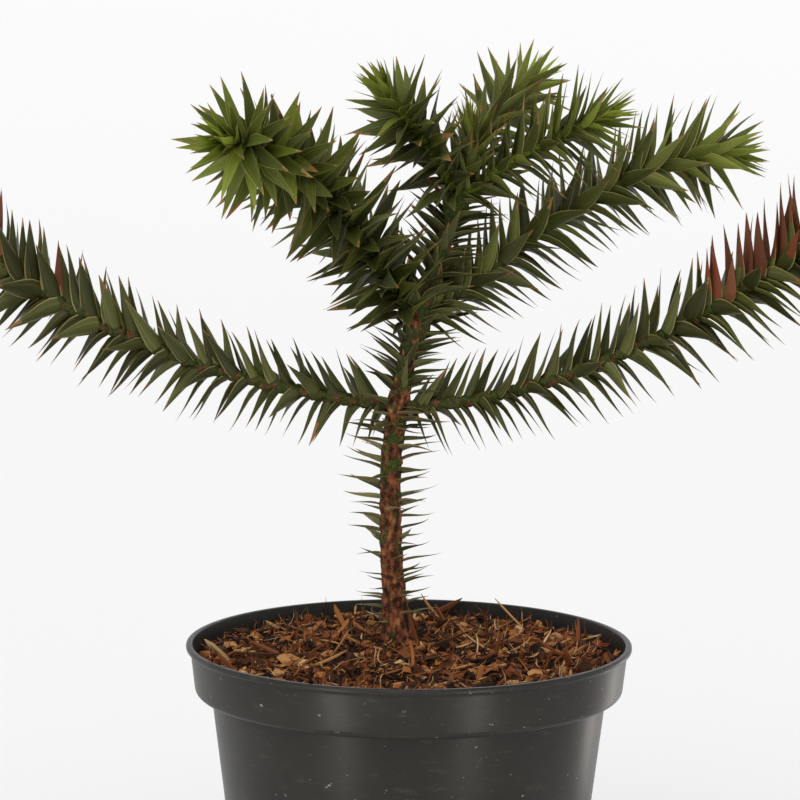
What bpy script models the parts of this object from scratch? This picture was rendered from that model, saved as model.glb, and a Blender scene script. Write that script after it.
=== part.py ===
"""Monkey puzzle sapling (Araucaria araucana) in a three litre nursery pot.

Units are metres, +Z is up, and the pot stands on z = 0 about the Z axis.

The trunk stands on the potting mix. It carries two long low boughs, two shorter
boughs half way up, and three short boughs round its tip. Each bough is a bare limb
that ends where its foliage mass starts. A mass is one solid: a stem with leaves set
on it in a golden angle spiral, their roots sunk in the stem. Three collars of trunk
leaves stand round the trunk, each on a thin sleeve that is cut clear of it.
"""

import math
import random
from typing import NamedTuple

import bmesh
import bpy
from mathutils import Matrix, Vector
from mathutils.bvhtree import BVHTree

SEED = 27
GAP = 0.0003  # clear space between one node and the next
FIT = 0.0004  # the same where one curved surface follows another in flat facets

# Pot: a tapered wall under a wide band, with a thin lip round the top
POT_HEIGHT = 0.148
POT_FOOT_RADIUS = 0.0697
POT_WALL_RADIUS = 0.0853  # at the top of the wall, under the band
POT_BAND_RADIUS = (0.0924, 0.0942)  # at the band's foot and at its top
POT_LIP_RADIUS = 0.0961
POT_BAND_HEIGHT = 0.0216
POT_LIP_HEIGHT = 0.0024
POT_LIP_WIDTH = 0.0028
POT_WALL = 0.0013
POT_FLOOR = 0.0020
POT_EDGE = 0.0014  # rounding of the foot and of the lip
POT_SEGMENTS = 36
DRAIN_HOLES = 8
DRAIN_RADIUS = 0.0045
DRAIN_CIRCLE = 0.0520
DRAIN_SIDES = 8

# Potting mix: rough on top, and mounded towards the trunk
SOIL_EDGE_DROP = 0.0075  # from the top of the lip
SOIL_TOP = 0.1450  # level of the flat patch that the trunk stands on
SOIL_PATCH = 0.0085
SOIL_ROUGHNESS = 0.0011
SOIL_RINGS = 6
SOIL_WAVES = ((5, 9, 0.0), (3, -14, 1.7))  # lumps round the pot, their slant, and phase

# Trunk: leans one way at its foot and the other way above, in the XZ plane
TRUNK_FOOT = (-0.0050, 0.0120)  # off the pot's axis, in X and Y
TRUNK_LENGTH = 0.2038
TRUNK_LEAN = (-4.2, 18.4)  # degrees from upright, at the foot and at the tip
TRUNK_TURN = (0.11, 0.83)  # the lean changes between these parts of the length
TRUNK_RADIUS = (0.0043, 0.0022)  # at the foot, without its flare, and at the tip
FLARE = 0.0024  # extra radius at the ground
FLARE_HEIGHT = 0.0080
TRUNK_STEP = 0.010
TRUNK_SIDES = 10

# Leaves: set in a golden angle spiral
GOLDEN_ANGLE = math.radians(137.508)
LEAF_WIDTH = 0.30  # part of the length
LEAF_ROOT = 0.36  # width at the root, as part of the full width
LEAF_WIDEST = 0.33  # part of the length at which a leaf is widest
LEAF_KEEL = 0.055  # depth of the keel, part of the length
LEAF_CURL = 0.09  # how far the tip curls towards the shoot's tip, part of the length
LEAF_SWING = 14.0  # degrees that a leaf may turn aside to stay clear
LEAF_FITS = (1.0, 1.0, 1.0, 0.9, 0.9, 0.8, 0.7)  # sizes tried, one after another
TURN_SPREAD = 7.0  # how far chance moves a leaf from the rule, in degrees
TILT_SPREAD = 5.0
ROLL_SPREAD = 14.0
SIZE_SPREAD = (0.90, 1.07)
BUD_LENGTH = 0.011  # leaves close up over this much of the shoot's end
BUD_TILT = 16.0
BUD_SHORTENING = 0.25  # at the very tip, part of the length
BUD_CROWDING = 0.45  # at the very tip, part of the spacing
STEM_SIDES = 5
STEM_STEP = 0.018
SEAT_REACH = 0.030  # stretch of trunk, each way, that shapes a bough's root
SEAT_STEP = 0.006
ROOT_DEPTH = 0.35  # leaf roots sit at this part of the stem's radius


class Shoot(NamedTuple):
    """One bough with the foliage mass that goes on from its tip."""

    height: float  # along the trunk, from the ground
    heading: tuple  # degrees anticlockwise from +X, at its start and its tip
    rise: tuple  # degrees above level, at its start and its tip
    bend: float  # over 1, the rise changes late; under 1, early
    length: float  # with the bare bough
    bough: float  # length of the bare bough
    radius: tuple  # at its start and its tip
    leaf: tuple  # length of its leaves, at its start and its tip
    tilt: tuple  # degrees between leaf and shoot, on its upper side and its lower
    spacing: float  # along the shoot, from leaf to leaf


SHOOTS = {
    "lower_left": Shoot(
        height=0.1041, heading=(176, 164), rise=(5, 41), bend=1.14, length=0.232, bough=0.014,
        radius=(0.0023, 0.0020), leaf=(0.023, 0.035), tilt=(50, 84), spacing=0.0021,
    ),
    "lower_right": Shoot(
        height=0.1041, heading=(-4, -12), rise=(-5, 41.5), bend=0.56, length=0.222, bough=0.014,
        radius=(0.0023, 0.0020), leaf=(0.023, 0.035), tilt=(50, 84), spacing=0.0021,
    ),
    "upper_left": Shoot(
        height=0.1385, heading=(215, 238), rise=(58, 6.5), bend=1.41, length=0.144, bough=0.013,
        radius=(0.0022, 0.0019), leaf=(0.026, 0.031), tilt=(68, 80), spacing=0.0018,
    ),
    "upper_right": Shoot(
        height=0.1397, heading=(18, 10), rise=(35.7, -2), bend=3.73, length=0.159, bough=0.013,
        radius=(0.0022, 0.0019), leaf=(0.027, 0.030), tilt=(54, 80), spacing=0.0019,
    ),
    "crown_left": Shoot(
        height=0.1965, heading=(235, 210), rise=(49, 47), bend=1.00, length=0.059, bough=0.009,
        radius=(0.0018, 0.0017), leaf=(0.025, 0.029), tilt=(62, 78), spacing=0.0017,
    ),
    "crown_right": Shoot(
        height=0.1955, heading=(-24, -14), rise=(46, 23.5), bend=0.50, length=0.072, bough=0.009,
        radius=(0.0018, 0.0017), leaf=(0.026, 0.029), tilt=(52, 78), spacing=0.0019,
    ),
    "crown_back": Shoot(
        height=0.1925, heading=(60, 45), rise=(60, 20.8), bend=1.43, length=0.076, bough=0.009,
        radius=(0.0018, 0.0017), leaf=(0.026, 0.028), tilt=(56, 78), spacing=0.0019,
    ),
}

# The leader goes on from the trunk's tip
LEADER_LENGTH = 0.026
LEADER_RADIUS = (0.0022, 0.0018)
LEADER_LEAF = (0.027, 0.027)
LEADER_TILT = (60, 60)
LEADER_SPACING = 0.0012


class Collar(NamedTuple):
    """Trunk leaves on a sleeve round one stretch of the trunk."""

    stretch: tuple  # along the trunk, from the ground
    leaf: tuple  # length of the leaves, at the bottom and at the top
    tilt: tuple  # degrees between leaf and trunk, on its upper side and its lower
    slimness: float  # width of the leaves, next to that of a shoot's leaves
    spacing: float


COLLARS = {
    "low": Collar((0.010, 0.1008), (0.0165, 0.0215), (84, 84), 0.62, 0.00210),
    "middle": Collar((0.1074, 0.1375), (0.0200, 0.0240), (72, 72), 0.80, 0.00175),
    "high": Collar((0.1490, 0.1915), (0.0300, 0.0280), (62, 62), 0.90, 0.00120),
}
SLEEVE_WALL = 0.0010
SLEEVE_STEP = 0.012
SLEEVE_MARGIN = 0.0015  # kept free of leaves at both ends

COLOURS = {  # base colour, roughness
    "pot": ((0.018, 0.024, 0.023), 0.42),
    "soil": ((0.105, 0.042, 0.022), 0.95),
    "trunk": ((0.120, 0.045, 0.026), 0.85),
    "bough": ((0.085, 0.070, 0.028), 0.80),
    "foliage": ((0.035, 0.075, 0.028), 0.50),
}

rng = random.Random(SEED)


# ---------------------------------------------------------------- scene helpers


def clear_scene():
    for old in list(bpy.data.objects):
        bpy.data.objects.remove(old, do_unlink=True)


def material(name, kind):
    colour, roughness = COLOURS[kind]
    made = bpy.data.materials.new(name)
    made.use_nodes = True
    shader = made.node_tree.nodes["Principled BSDF"]
    shader.inputs["Base Color"].default_value = (*colour, 1.0)
    shader.inputs["Roughness"].default_value = roughness
    shader.inputs["Metallic"].default_value = 0.0
    return made


def add_object(name, vertices, faces, kind, smooth=True):
    """One closed mesh object, facing out, with a material of its own."""
    mesh = bpy.data.meshes.new(name)
    mesh.from_pydata(vertices, [], faces)
    shape = bmesh.new()
    shape.from_mesh(mesh)
    bmesh.ops.recalc_face_normals(shape, faces=shape.faces)
    shape.to_mesh(mesh)
    shape.free()
    mesh.polygons.foreach_set("use_smooth", [smooth] * len(mesh.polygons))
    thing = bpy.data.objects.new(name, mesh)
    thing.data.materials.append(material(name, kind))
    bpy.context.collection.objects.link(thing)
    return thing


def bake_modifiers(thing):
    """Turns an object's modifiers into plain mesh."""
    depsgraph = bpy.context.evaluated_depsgraph_get()
    baked = bpy.data.meshes.new_from_object(thing.evaluated_get(depsgraph))
    thing.modifiers.clear()
    thing.data = baked


def cut(thing, cutter):
    """Takes the cutter's shape out of the object, and the cutter out of the scene."""
    boolean = thing.modifiers.new("cut", "BOOLEAN")
    boolean.operation = "DIFFERENCE"
    boolean.object = cutter
    boolean.solver = "EXACT"
    bake_modifiers(thing)
    bpy.data.objects.remove(cutter, do_unlink=True)


# ------------------------------------------------------------------ pot and mix


def lathe(name, profile, segments, kind):
    """A solid of revolution from (radius, height) points; its ends are flat discs."""
    vertices = []
    for radius, height in profile:
        for k in range(segments):
            angle = math.tau * k / segments
            vertices.append((radius * math.cos(angle), radius * math.sin(angle), height))
    faces = []
    for row in range(len(profile) - 1):
        for k in range(segments):
            here = row * segments + k
            beside = row * segments + (k + 1) % segments
            faces.append((here, beside, beside + segments, here + segments))
    faces.append(tuple(range(segments)))
    last = (len(profile) - 1) * segments
    faces.append(tuple(range(last, last + segments)))
    return add_object(name, vertices, faces, kind)


def wall_radius(height):
    """Outer radius of the pot's tapered wall."""
    top = POT_HEIGHT - POT_BAND_HEIGHT
    return POT_FOOT_RADIUS + (POT_WALL_RADIUS - POT_FOOT_RADIUS) * height / top


def inside_profile(inset):
    """The pot's inner face, from the floor to the lip, moved in by the inset."""
    step = POT_HEIGHT - POT_BAND_HEIGHT
    floor = POT_FLOOR + inset
    wall = POT_WALL + inset
    top = POT_HEIGHT - SOIL_EDGE_DROP
    return [
        (wall_radius(floor) - wall - POT_EDGE, floor),
        (wall_radius(floor + POT_EDGE) - wall, floor + POT_EDGE),
        (POT_WALL_RADIUS - wall, step + wall),
        (POT_BAND_RADIUS[0] - wall - POT_EDGE, step + wall),
        (POT_BAND_RADIUS[0] - wall, step + wall + POT_EDGE),
        (POT_BAND_RADIUS[1] - wall - GAP, top),
    ]


def make_pot():
    step = POT_HEIGHT - POT_BAND_HEIGHT
    lip = POT_HEIGHT - POT_LIP_HEIGHT
    corner = 2 * POT_EDGE
    outside = [
        (POT_FOOT_RADIUS - POT_EDGE, 0.0),
        (POT_FOOT_RADIUS, POT_EDGE),
        (POT_WALL_RADIUS, step),
        (POT_BAND_RADIUS[0] - corner, step),
        (POT_BAND_RADIUS[0] - 0.3 * corner, step + 0.3 * corner),
        (POT_BAND_RADIUS[0], step + corner),
        (POT_BAND_RADIUS[1], lip),
        (POT_LIP_RADIUS, lip + 0.2 * POT_LIP_HEIGHT),
        (POT_LIP_RADIUS, POT_HEIGHT - 0.4 * POT_LIP_HEIGHT),
        (POT_LIP_RADIUS - 0.3 * POT_LIP_WIDTH, POT_HEIGHT),
        (POT_LIP_RADIUS - 0.8 * POT_LIP_WIDTH, POT_HEIGHT),
        (POT_LIP_RADIUS - POT_LIP_WIDTH, POT_HEIGHT - 0.3 * POT_LIP_HEIGHT),
    ]
    inside = inside_profile(0.0)
    pot = lathe("pot", outside + inside[::-1], POT_SEGMENTS, "pot")
    add_drain_holes(pot)
    return pot


def add_drain_holes(pot):
    """A ring of round holes through the pot's floor."""
    shape = bmesh.new()
    for k in range(DRAIN_HOLES):
        turn = Matrix.Rotation(math.tau * (k + 0.5) / DRAIN_HOLES, 4, "Z")
        place = turn @ Matrix.Translation((DRAIN_CIRCLE, 0.0, POT_FLOOR / 2))
        bmesh.ops.create_cone(
            shape,
            cap_ends=True,
            segments=DRAIN_SIDES,
            radius1=DRAIN_RADIUS,
            radius2=DRAIN_RADIUS,
            depth=4 * POT_FLOOR,
            matrix=place,
        )
    mesh = bpy.data.meshes.new("drains")
    shape.to_mesh(mesh)
    shape.free()
    drains = bpy.data.objects.new("drains", mesh)
    bpy.context.collection.objects.link(drains)
    drains.hide_render = True
    drains.display_type = "WIRE"
    cut(pot, drains)


def soil_level(across, angle):
    """Height of the mix from the trunk's patch (across = 0) out to the pot (1)."""
    edge = POT_HEIGHT - SOIL_EDGE_DROP
    mound = (SOIL_TOP - edge) * (0.5 + 0.5 * math.cos(math.pi * across))
    waves = sum(math.sin(lumps * angle + slant * across + phase) for lumps, slant, phase in SOIL_WAVES)
    rough = 0.5 * waves + rng.uniform(-1.0, 1.0)
    return edge + mound + SOIL_ROUGHNESS * rough * min(1.0, 3 * across) * (1 - 0.6 * across)


def make_soil():
    """Fills the pot: rings of the pot's inner face, then rings closing on the trunk."""
    sides = inside_profile(FIT)
    rows = [[(radius, height, 0.0, 0.0)] * POT_SEGMENTS for radius, height in sides[:-1]]
    rim = sides[-1][0]
    for ring in range(SOIL_RINGS + 1):
        across = 1 - ring / SOIL_RINGS
        radius = SOIL_PATCH + (rim - SOIL_PATCH) * across
        centre = (TRUNK_FOOT[0] * (1 - across), TRUNK_FOOT[1] * (1 - across))
        row = []
        for k in range(POT_SEGMENTS):
            level = soil_level(across, math.tau * k / POT_SEGMENTS)
            row.append((radius, SOIL_TOP if ring == SOIL_RINGS else level, *centre))
        rows.append(row)
    vertices = []
    for row in rows:
        for k, (radius, height, x, y) in enumerate(row):
            angle = math.tau * k / POT_SEGMENTS
            vertices.append((x + radius * math.cos(angle), y + radius * math.sin(angle), height))
    faces = [tuple(range(POT_SEGMENTS))]
    for row in range(len(rows) - 1):
        for k in range(POT_SEGMENTS):
            here = row * POT_SEGMENTS + k
            beside = row * POT_SEGMENTS + (k + 1) % POT_SEGMENTS
            over, beside_over = here + POT_SEGMENTS, beside + POT_SEGMENTS
            faces.append((here, beside, beside_over))
            faces.append((here, beside_over, over))
    last = (len(rows) - 1) * POT_SEGMENTS
    faces.append(tuple(range(last, last + POT_SEGMENTS)))
    return add_object("soil", vertices, faces, "soil", smooth=False)


# ---------------------------------------------------------- growing stems


def smoothstep(value):
    value = min(1.0, max(0.0, value))
    return value * value * (3 - 2 * value)


def direction(heading, rise):
    """Unit vector from angles in radians."""
    flat = math.cos(rise)
    return Vector((flat * math.cos(heading), flat * math.sin(heading), math.sin(rise)))


def trunk_direction(part):
    start, end = TRUNK_TURN
    lean = math.radians(
        TRUNK_LEAN[0] + (TRUNK_LEAN[1] - TRUNK_LEAN[0]) * smoothstep((part - start) / (end - start))
    )
    return Vector((math.sin(lean), 0.0, math.cos(lean)))


def shoot_direction(shoot, part):
    heading = shoot.heading[0] + (shoot.heading[1] - shoot.heading[0]) * part
    rise = shoot.rise[0] + (shoot.rise[1] - shoot.rise[0]) * part**shoot.bend
    return direction(math.radians(heading), math.radians(rise))


class Stem:
    """A centre line walked out in short straight steps, with a frame at every point."""

    STEPS = 60

    def __init__(self, start, heading_at, length, radius_at):
        self.length = length
        self.radius_at = radius_at  # radius from the distance along
        self.points = [Vector(start)]
        self.tangents = []
        for step in range(self.STEPS):
            ahead = heading_at((step + 0.5) / self.STEPS)
            self.tangents.append(ahead)
            self.points.append(self.points[-1] + ahead * length / self.STEPS)
        self.tangents.append(heading_at(1.0))
        side = self.tangents[0].cross(Vector((0.0, 1.0, 0.3))).normalized()
        self.sides = []
        for tangent in self.tangents:
            side = (side - tangent * side.dot(tangent)).normalized()
            self.sides.append(side)

    def at(self, distance):
        """Point, direction ahead, and two directions across, at a distance along."""
        place = min(max(distance / self.length, 0.0), 1.0) * self.STEPS
        low = min(int(place), self.STEPS - 1)
        part = place - low
        point = self.points[low].lerp(self.points[low + 1], part)
        ahead = self.tangents[low].lerp(self.tangents[low + 1], part).normalized()
        side = self.sides[low].lerp(self.sides[low + 1], part)
        side = (side - ahead * side.dot(ahead)).normalized()
        return point, ahead, side, ahead.cross(side)

    def ring(self, distance, sides, extra=0.0):
        """Corners of the cross section, with something added to the radius."""
        point, _, side, up = self.at(distance)
        radius = self.radius_at(distance) + extra
        corners = []
        for k in range(sides):
            angle = math.tau * k / sides
            corners.append(point + radius * (math.cos(angle) * side + math.sin(angle) * up))
        return corners


def tube_faces(rows, sides, first=0):
    faces = []
    for row in range(rows - 1):
        for k in range(sides):
            here = first + row * sides + k
            beside = first + row * sides + (k + 1) % sides
            faces.append((here, beside, beside + sides, here + sides))
    return faces


def tube(name, stem, stations, sides, kind, extra=0.0):
    """A closed tapering tube along a stem."""
    vertices = []
    for distance in stations:
        vertices += stem.ring(distance, sides, extra)
    faces = tube_faces(len(stations), sides)
    faces.append(tuple(range(sides)))
    faces.append(tuple(range(len(vertices) - sides, len(vertices))))
    return add_object(name, vertices, faces, kind)


def spread(start, end, step):
    """Distances from start to end, evenly set and about a step apart."""
    count = max(1, round((end - start) / step))
    return [start + (end - start) * k / count for k in range(count + 1)]


def trunk_radius(distance):
    taper = TRUNK_RADIUS[0] + (TRUNK_RADIUS[1] - TRUNK_RADIUS[0]) * distance / TRUNK_LENGTH
    return taper + FLARE * math.exp(-distance / FLARE_HEIGHT)


def shoot_radius(radius, length):
    return lambda distance: radius[0] + (radius[1] - radius[0]) * distance / length


def grow_trunk():
    foot = (*TRUNK_FOOT, SOIL_TOP + GAP)
    return Stem(foot, trunk_direction, TRUNK_LENGTH, trunk_radius)


def make_trunk(stem):
    stations = spread(0.0, FLARE_HEIGHT, FLARE_HEIGHT / 3)
    stations += spread(FLARE_HEIGHT, TRUNK_LENGTH, TRUNK_STEP)[1:]
    trunk = tube("trunk", stem, stations, TRUNK_SIDES, "trunk")
    level = SOIL_TOP + GAP
    for vertex in trunk.data.vertices[:TRUNK_SIDES]:
        vertex.co.z = level
    return trunk


def grow_shoot(trunk_stem, shoot):
    start = trunk_stem.at(shoot.height)[0]
    radius = shoot_radius(shoot.radius, shoot.length)
    return Stem(start, lambda part: shoot_direction(shoot, part), shoot.length, radius)


def make_bough(name, stem, shoot, trunk_stem):
    """The bare limb, its root shaped to the trunk with a thin gap."""
    stations = spread(0.0, shoot.bough, STEM_STEP / 2)
    bough = tube(name, stem, stations, STEM_SIDES, "bough")
    low, high = max(0.0, shoot.height - SEAT_REACH), min(shoot.height + SEAT_REACH, TRUNK_LENGTH)
    stretch = spread(low, high, SEAT_STEP)
    cut(bough, tube("seat", trunk_stem, stretch, TRUNK_SIDES, "trunk", FIT))
    return bough


# ------------------------------------------------------------------ leaves


class Leaf(NamedTuple):
    root: Vector
    along: Vector
    across: Vector
    length: float
    width: float


def leaf_shape(leaf, swell=0.0):
    """Eight faces: a flat upper side in three, a keeled lower side in five.

    The upper side looks towards the shoot's tip. The swell makes the leaf bigger all
    round, which is how its clearance is tested.
    """
    up = leaf.along.cross(leaf.across)
    half = leaf.width / 2 + swell
    length = leaf.length + swell
    widest = leaf.root + leaf.along * (LEAF_WIDEST * length) + up * (0.2 * LEAF_CURL * length)
    keel = leaf.root + leaf.along * (0.8 * LEAF_WIDEST * length)
    tip = leaf.root + leaf.along * length + up * (LEAF_CURL * length)
    vertices = [
        leaf.root - leaf.across * (LEAF_ROOT * half),
        leaf.root + leaf.across * (LEAF_ROOT * half),
        widest - leaf.across * half + up * swell,
        widest + leaf.across * half + up * swell,
        keel - up * (LEAF_KEEL * length + swell),
        tip,
    ]
    faces = [(0, 1, 3), (0, 3, 2), (2, 3, 5), (1, 0, 4), (0, 2, 4), (3, 1, 4), (2, 5, 4), (5, 3, 4)]
    return vertices, faces


def place_leaf(stem, distance, turn, tilt, depth, length, slimness):
    """A leaf at a distance along a stem, turned about it, its root at a depth."""
    point, ahead, side, up = stem.at(distance)
    turn += math.radians(rng.uniform(-TURN_SPREAD, TURN_SPREAD))
    outward = math.cos(turn) * side + math.sin(turn) * up
    opening = tilt[1] + (tilt[0] - tilt[1]) * (0.5 + 0.5 * outward.z)
    angle = math.radians(opening + rng.uniform(-TILT_SPREAD, TILT_SPREAD))
    along = math.cos(angle) * ahead + math.sin(angle) * outward
    across = ahead.cross(outward)
    roll = math.radians(rng.uniform(-ROLL_SPREAD, ROLL_SPREAD))
    across = Matrix.Rotation(roll, 3, along) @ across
    size = length * rng.uniform(*SIZE_SPREAD)
    return Leaf(point + outward * depth, along, across, size, size * LEAF_WIDTH * slimness)


def shoot_leaves(stem, start, length, tilt, spacing):
    """Leaves from the mass's root to its bud, where they close up round the tip."""
    leaves = []
    distance, turn = start + spacing, rng.uniform(0, math.tau)
    bud = stem.length - BUD_LENGTH
    while distance < stem.length:
        closing = smoothstep((distance - bud) / BUD_LENGTH)
        opening = [angle + (BUD_TILT - angle) * closing for angle in tilt]
        size = length[0] + (length[1] - length[0]) * (distance - start) / (stem.length - start)
        size *= 1 - BUD_SHORTENING * closing
        depth = ROOT_DEPTH * stem.radius_at(distance)
        leaves.append(place_leaf(stem, distance, turn, opening, depth, size, 1.0))
        turn += GOLDEN_ANGLE
        distance += spacing * (1 - BUD_CROWDING * closing)
    return leaves


def collar_leaves(stem, collar):
    """Trunk leaves, rooted half way into the sleeve's wall."""
    start, end = collar.stretch
    leaves = []
    distance, turn = start + SLEEVE_MARGIN, rng.uniform(0, math.tau)
    while distance < end - SLEEVE_MARGIN:
        part = (distance - start) / (end - start)
        length = collar.leaf[0] + (collar.leaf[1] - collar.leaf[0]) * part
        depth = stem.radius_at(distance) + FIT + SLEEVE_WALL / 2
        leaf = place_leaf(stem, distance, turn, collar.tilt, depth, length, collar.slimness)
        leaves.append(leaf)
        turn += GOLDEN_ANGLE
        distance += collar.spacing
    return leaves


# ------------------------------------------------------------ foliage masses


def surface_tree(vertices, faces):
    return BVHTree.FromPolygons([tuple(v) for v in vertices], faces)


def object_tree(thing):
    corners = [vertex.co for vertex in thing.data.vertices]
    return surface_tree(corners, [tuple(face.vertices) for face in thing.data.polygons])


def clear_of(leaf, obstacles):
    tree = surface_tree(*leaf_shape(leaf, swell=1.2 * GAP))
    return not any(tree.overlap(obstacle) for obstacle in obstacles)


def swing(leaf):
    """The leaf turned a little about its root."""
    nod = Matrix.Rotation(math.radians(rng.uniform(-LEAF_SWING, LEAF_SWING)), 3, leaf.across)
    along = nod @ leaf.along
    yaw = Matrix.Rotation(
        math.radians(rng.uniform(-LEAF_SWING, LEAF_SWING)), 3, along.cross(leaf.across)
    )
    return leaf._replace(along=yaw @ along, across=yaw @ leaf.across)


def fit_leaf(leaf, obstacles):
    """The leaf, or one turned or shortened where it would touch, or none."""
    for scale in LEAF_FITS:
        size = leaf.length * scale
        fitted = leaf._replace(length=size, width=leaf.width * scale)
        if clear_of(fitted, obstacles):
            return fitted
        leaf = swing(leaf)
    return None


def fuse(body, leaves):
    """Joins the leaves to the body with one union, and keeps the one closed piece."""
    group = bpy.data.collections.new("leaves")
    bpy.context.scene.collection.children.link(group)
    for leaf in leaves:
        mesh = bpy.data.meshes.new("leaf")
        vertices, faces = leaf_shape(leaf)
        mesh.from_pydata(vertices, [], faces)
        group.objects.link(bpy.data.objects.new("leaf", mesh))
    union = body.modifiers.new("fuse", "BOOLEAN")
    union.operation = "UNION"
    union.operand_type = "COLLECTION"
    union.collection = group
    union.solver = "EXACT"
    bake_modifiers(body)
    for leaf in list(group.objects):
        bpy.data.objects.remove(leaf, do_unlink=True)
    bpy.data.collections.remove(group)
    keep_largest_shell(body)


def keep_largest_shell(body):
    """Drops scraps, and fills hollows by dropping their inner shells."""
    shape = bmesh.new()
    shape.from_mesh(body.data)
    left = set(shape.verts)
    shells = []
    while left:
        shell, edge = set(), [left.pop()]
        while edge:
            vertex = edge.pop()
            shell.add(vertex)
            for link in vertex.link_edges:
                other = link.other_vert(vertex)
                if other in left:
                    left.remove(other)
                    edge.append(other)
        shells.append(shell)
    shells.sort(key=len)
    for shell in shells[:-1]:
        bmesh.ops.delete(shape, geom=list(shell), context="VERTS")
    bmesh.ops.triangulate(shape, faces=shape.faces)
    shape.to_mesh(body.data)
    shape.free()


def make_sleeve(name, stem, collar):
    """A thin tube round the trunk, a gap clear of it."""
    stations = spread(*collar.stretch, SLEEVE_STEP)
    vertices = []
    for extra in (FIT, FIT + SLEEVE_WALL):
        for distance in stations:
            vertices += stem.ring(distance, TRUNK_SIDES, extra)
    layer = len(stations) * TRUNK_SIDES
    faces = tube_faces(len(stations), TRUNK_SIDES)
    faces += tube_faces(len(stations), TRUNK_SIDES, layer)
    for first in (0, layer - TRUNK_SIDES):
        for k in range(TRUNK_SIDES):
            here, beside = first + k, first + (k + 1) % TRUNK_SIDES
            faces.append((here, beside, beside + layer, here + layer))
    return add_object(name, vertices, faces, "foliage")


def plan_masses(trunk_stem, shoot_stems):
    """Every mass's bare stem, and the leaves that want to stand on it."""
    plans = []
    for name, shoot in SHOOTS.items():
        stem = shoot_stems[name]
        start = shoot.bough + GAP
        stations = spread(start, stem.length, STEM_STEP)
        body = tube(f"foliage_{name}", stem, stations, STEM_SIDES, "foliage")
        leaves = shoot_leaves(stem, start, shoot.leaf, shoot.tilt, shoot.spacing)
        plans.append((body, leaves))
    top = trunk_stem.at(TRUNK_LENGTH)[0] + trunk_direction(1.0) * GAP
    radius = shoot_radius(LEADER_RADIUS, LEADER_LENGTH)
    leader = Stem(top, lambda part: trunk_direction(1 - part), LEADER_LENGTH, radius)
    stations = spread(0.0, LEADER_LENGTH, STEM_STEP / 2)
    body = tube("foliage_leader", leader, stations, STEM_SIDES, "foliage")
    plans.append((body, shoot_leaves(leader, 0.0, LEADER_LEAF, LEADER_TILT, LEADER_SPACING)))
    for name, collar in COLLARS.items():
        body = make_sleeve(f"foliage_trunk_{name}", trunk_stem, collar)
        plans.append((body, collar_leaves(trunk_stem, collar)))
    return plans


def make_masses(plans, limbs):
    """Places each mass's leaves clear of the limbs and of the other masses."""
    bodies = [object_tree(body) for body, _ in plans]
    fixed = [object_tree(limb) for limb in limbs]
    placed = []
    for number, (body, leaves) in enumerate(plans):
        others = bodies[:number] + bodies[number + 1 :]
        obstacles = fixed + others + placed
        kept = [leaf for leaf in (fit_leaf(leaf, obstacles) for leaf in leaves) if leaf]
        placed += [surface_tree(*leaf_shape(leaf)) for leaf in kept]
        fuse(body, kept)
        print(f"{body.name}: {len(kept)} of {len(leaves)} leaves, {len(body.data.polygons)} faces")


def main():
    clear_scene()
    pot = make_pot()
    soil = make_soil()
    trunk_stem = grow_trunk()
    limbs = [pot, soil, make_trunk(trunk_stem)]
    shoot_stems = {}
    for name, shoot in SHOOTS.items():
        stem = grow_shoot(trunk_stem, shoot)
        shoot_stems[name] = stem
        limbs.append(make_bough(f"bough_{name}", stem, shoot, trunk_stem))
    make_masses(plan_masses(trunk_stem, shoot_stems), limbs)


main()
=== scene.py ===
"""Looks of the monkey puzzle sapling (Araucaria araucana) in its three litre pot.

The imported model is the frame. The trunk and boughs get bark, every foliage mass gets a
stem with its full count of leaves, grown by the rule of the part's source, and the pot
and the potting mix get finer pieces. Units are metres, +Z is up.
"""

import math
import random
from typing import NamedTuple

import bmesh
import bpy
import numpy as np
from mathutils import Matrix, Vector, noise


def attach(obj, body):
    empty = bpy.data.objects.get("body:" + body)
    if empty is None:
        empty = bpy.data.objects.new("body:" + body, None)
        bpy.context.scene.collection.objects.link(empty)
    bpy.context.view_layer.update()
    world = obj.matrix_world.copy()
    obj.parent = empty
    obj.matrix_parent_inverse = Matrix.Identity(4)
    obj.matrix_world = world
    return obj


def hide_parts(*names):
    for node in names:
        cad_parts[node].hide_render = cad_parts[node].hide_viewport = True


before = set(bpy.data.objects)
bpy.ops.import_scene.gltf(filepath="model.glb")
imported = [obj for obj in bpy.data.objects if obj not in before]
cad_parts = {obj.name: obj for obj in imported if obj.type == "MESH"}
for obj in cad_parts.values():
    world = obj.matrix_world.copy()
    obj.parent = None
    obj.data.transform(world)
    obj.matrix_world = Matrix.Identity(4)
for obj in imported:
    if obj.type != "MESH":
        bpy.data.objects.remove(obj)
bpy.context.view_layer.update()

SEED = 41
rng = random.Random(SEED)
deal = np.random.default_rng(SEED)

# ---- sizes that the solids are made from

POT_HEIGHT = 0.148
POT_FOOT_RADIUS = 0.0697
POT_WALL_RADIUS = 0.0853
POT_BAND_RADIUS = (0.0924, 0.0942)
POT_LIP_RADIUS = 0.0961
POT_BAND_HEIGHT = 0.0216
POT_LIP_HEIGHT = 0.0024
POT_LIP_WIDTH = 0.0028
POT_WALL = 0.0013
POT_FLOOR = 0.0020
POT_STEP = POT_HEIGHT - POT_BAND_HEIGHT  # height of the ledge under the band
POT_MOUTH = POT_BAND_RADIUS[1] - POT_WALL

SOIL_EDGE_DROP = 0.0075
SOIL_TOP = 0.1450

TRUNK_FOOT = (-0.0050, 0.0120)
TRUNK_LENGTH = 0.2038
TRUNK_LEAN = (-4.2, 18.4)
TRUNK_TURN = (0.11, 0.83)
TRUNK_RADIUS = (0.0043, 0.0022)
FLARE = 0.0024
FLARE_HEIGHT = 0.0080

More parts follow.
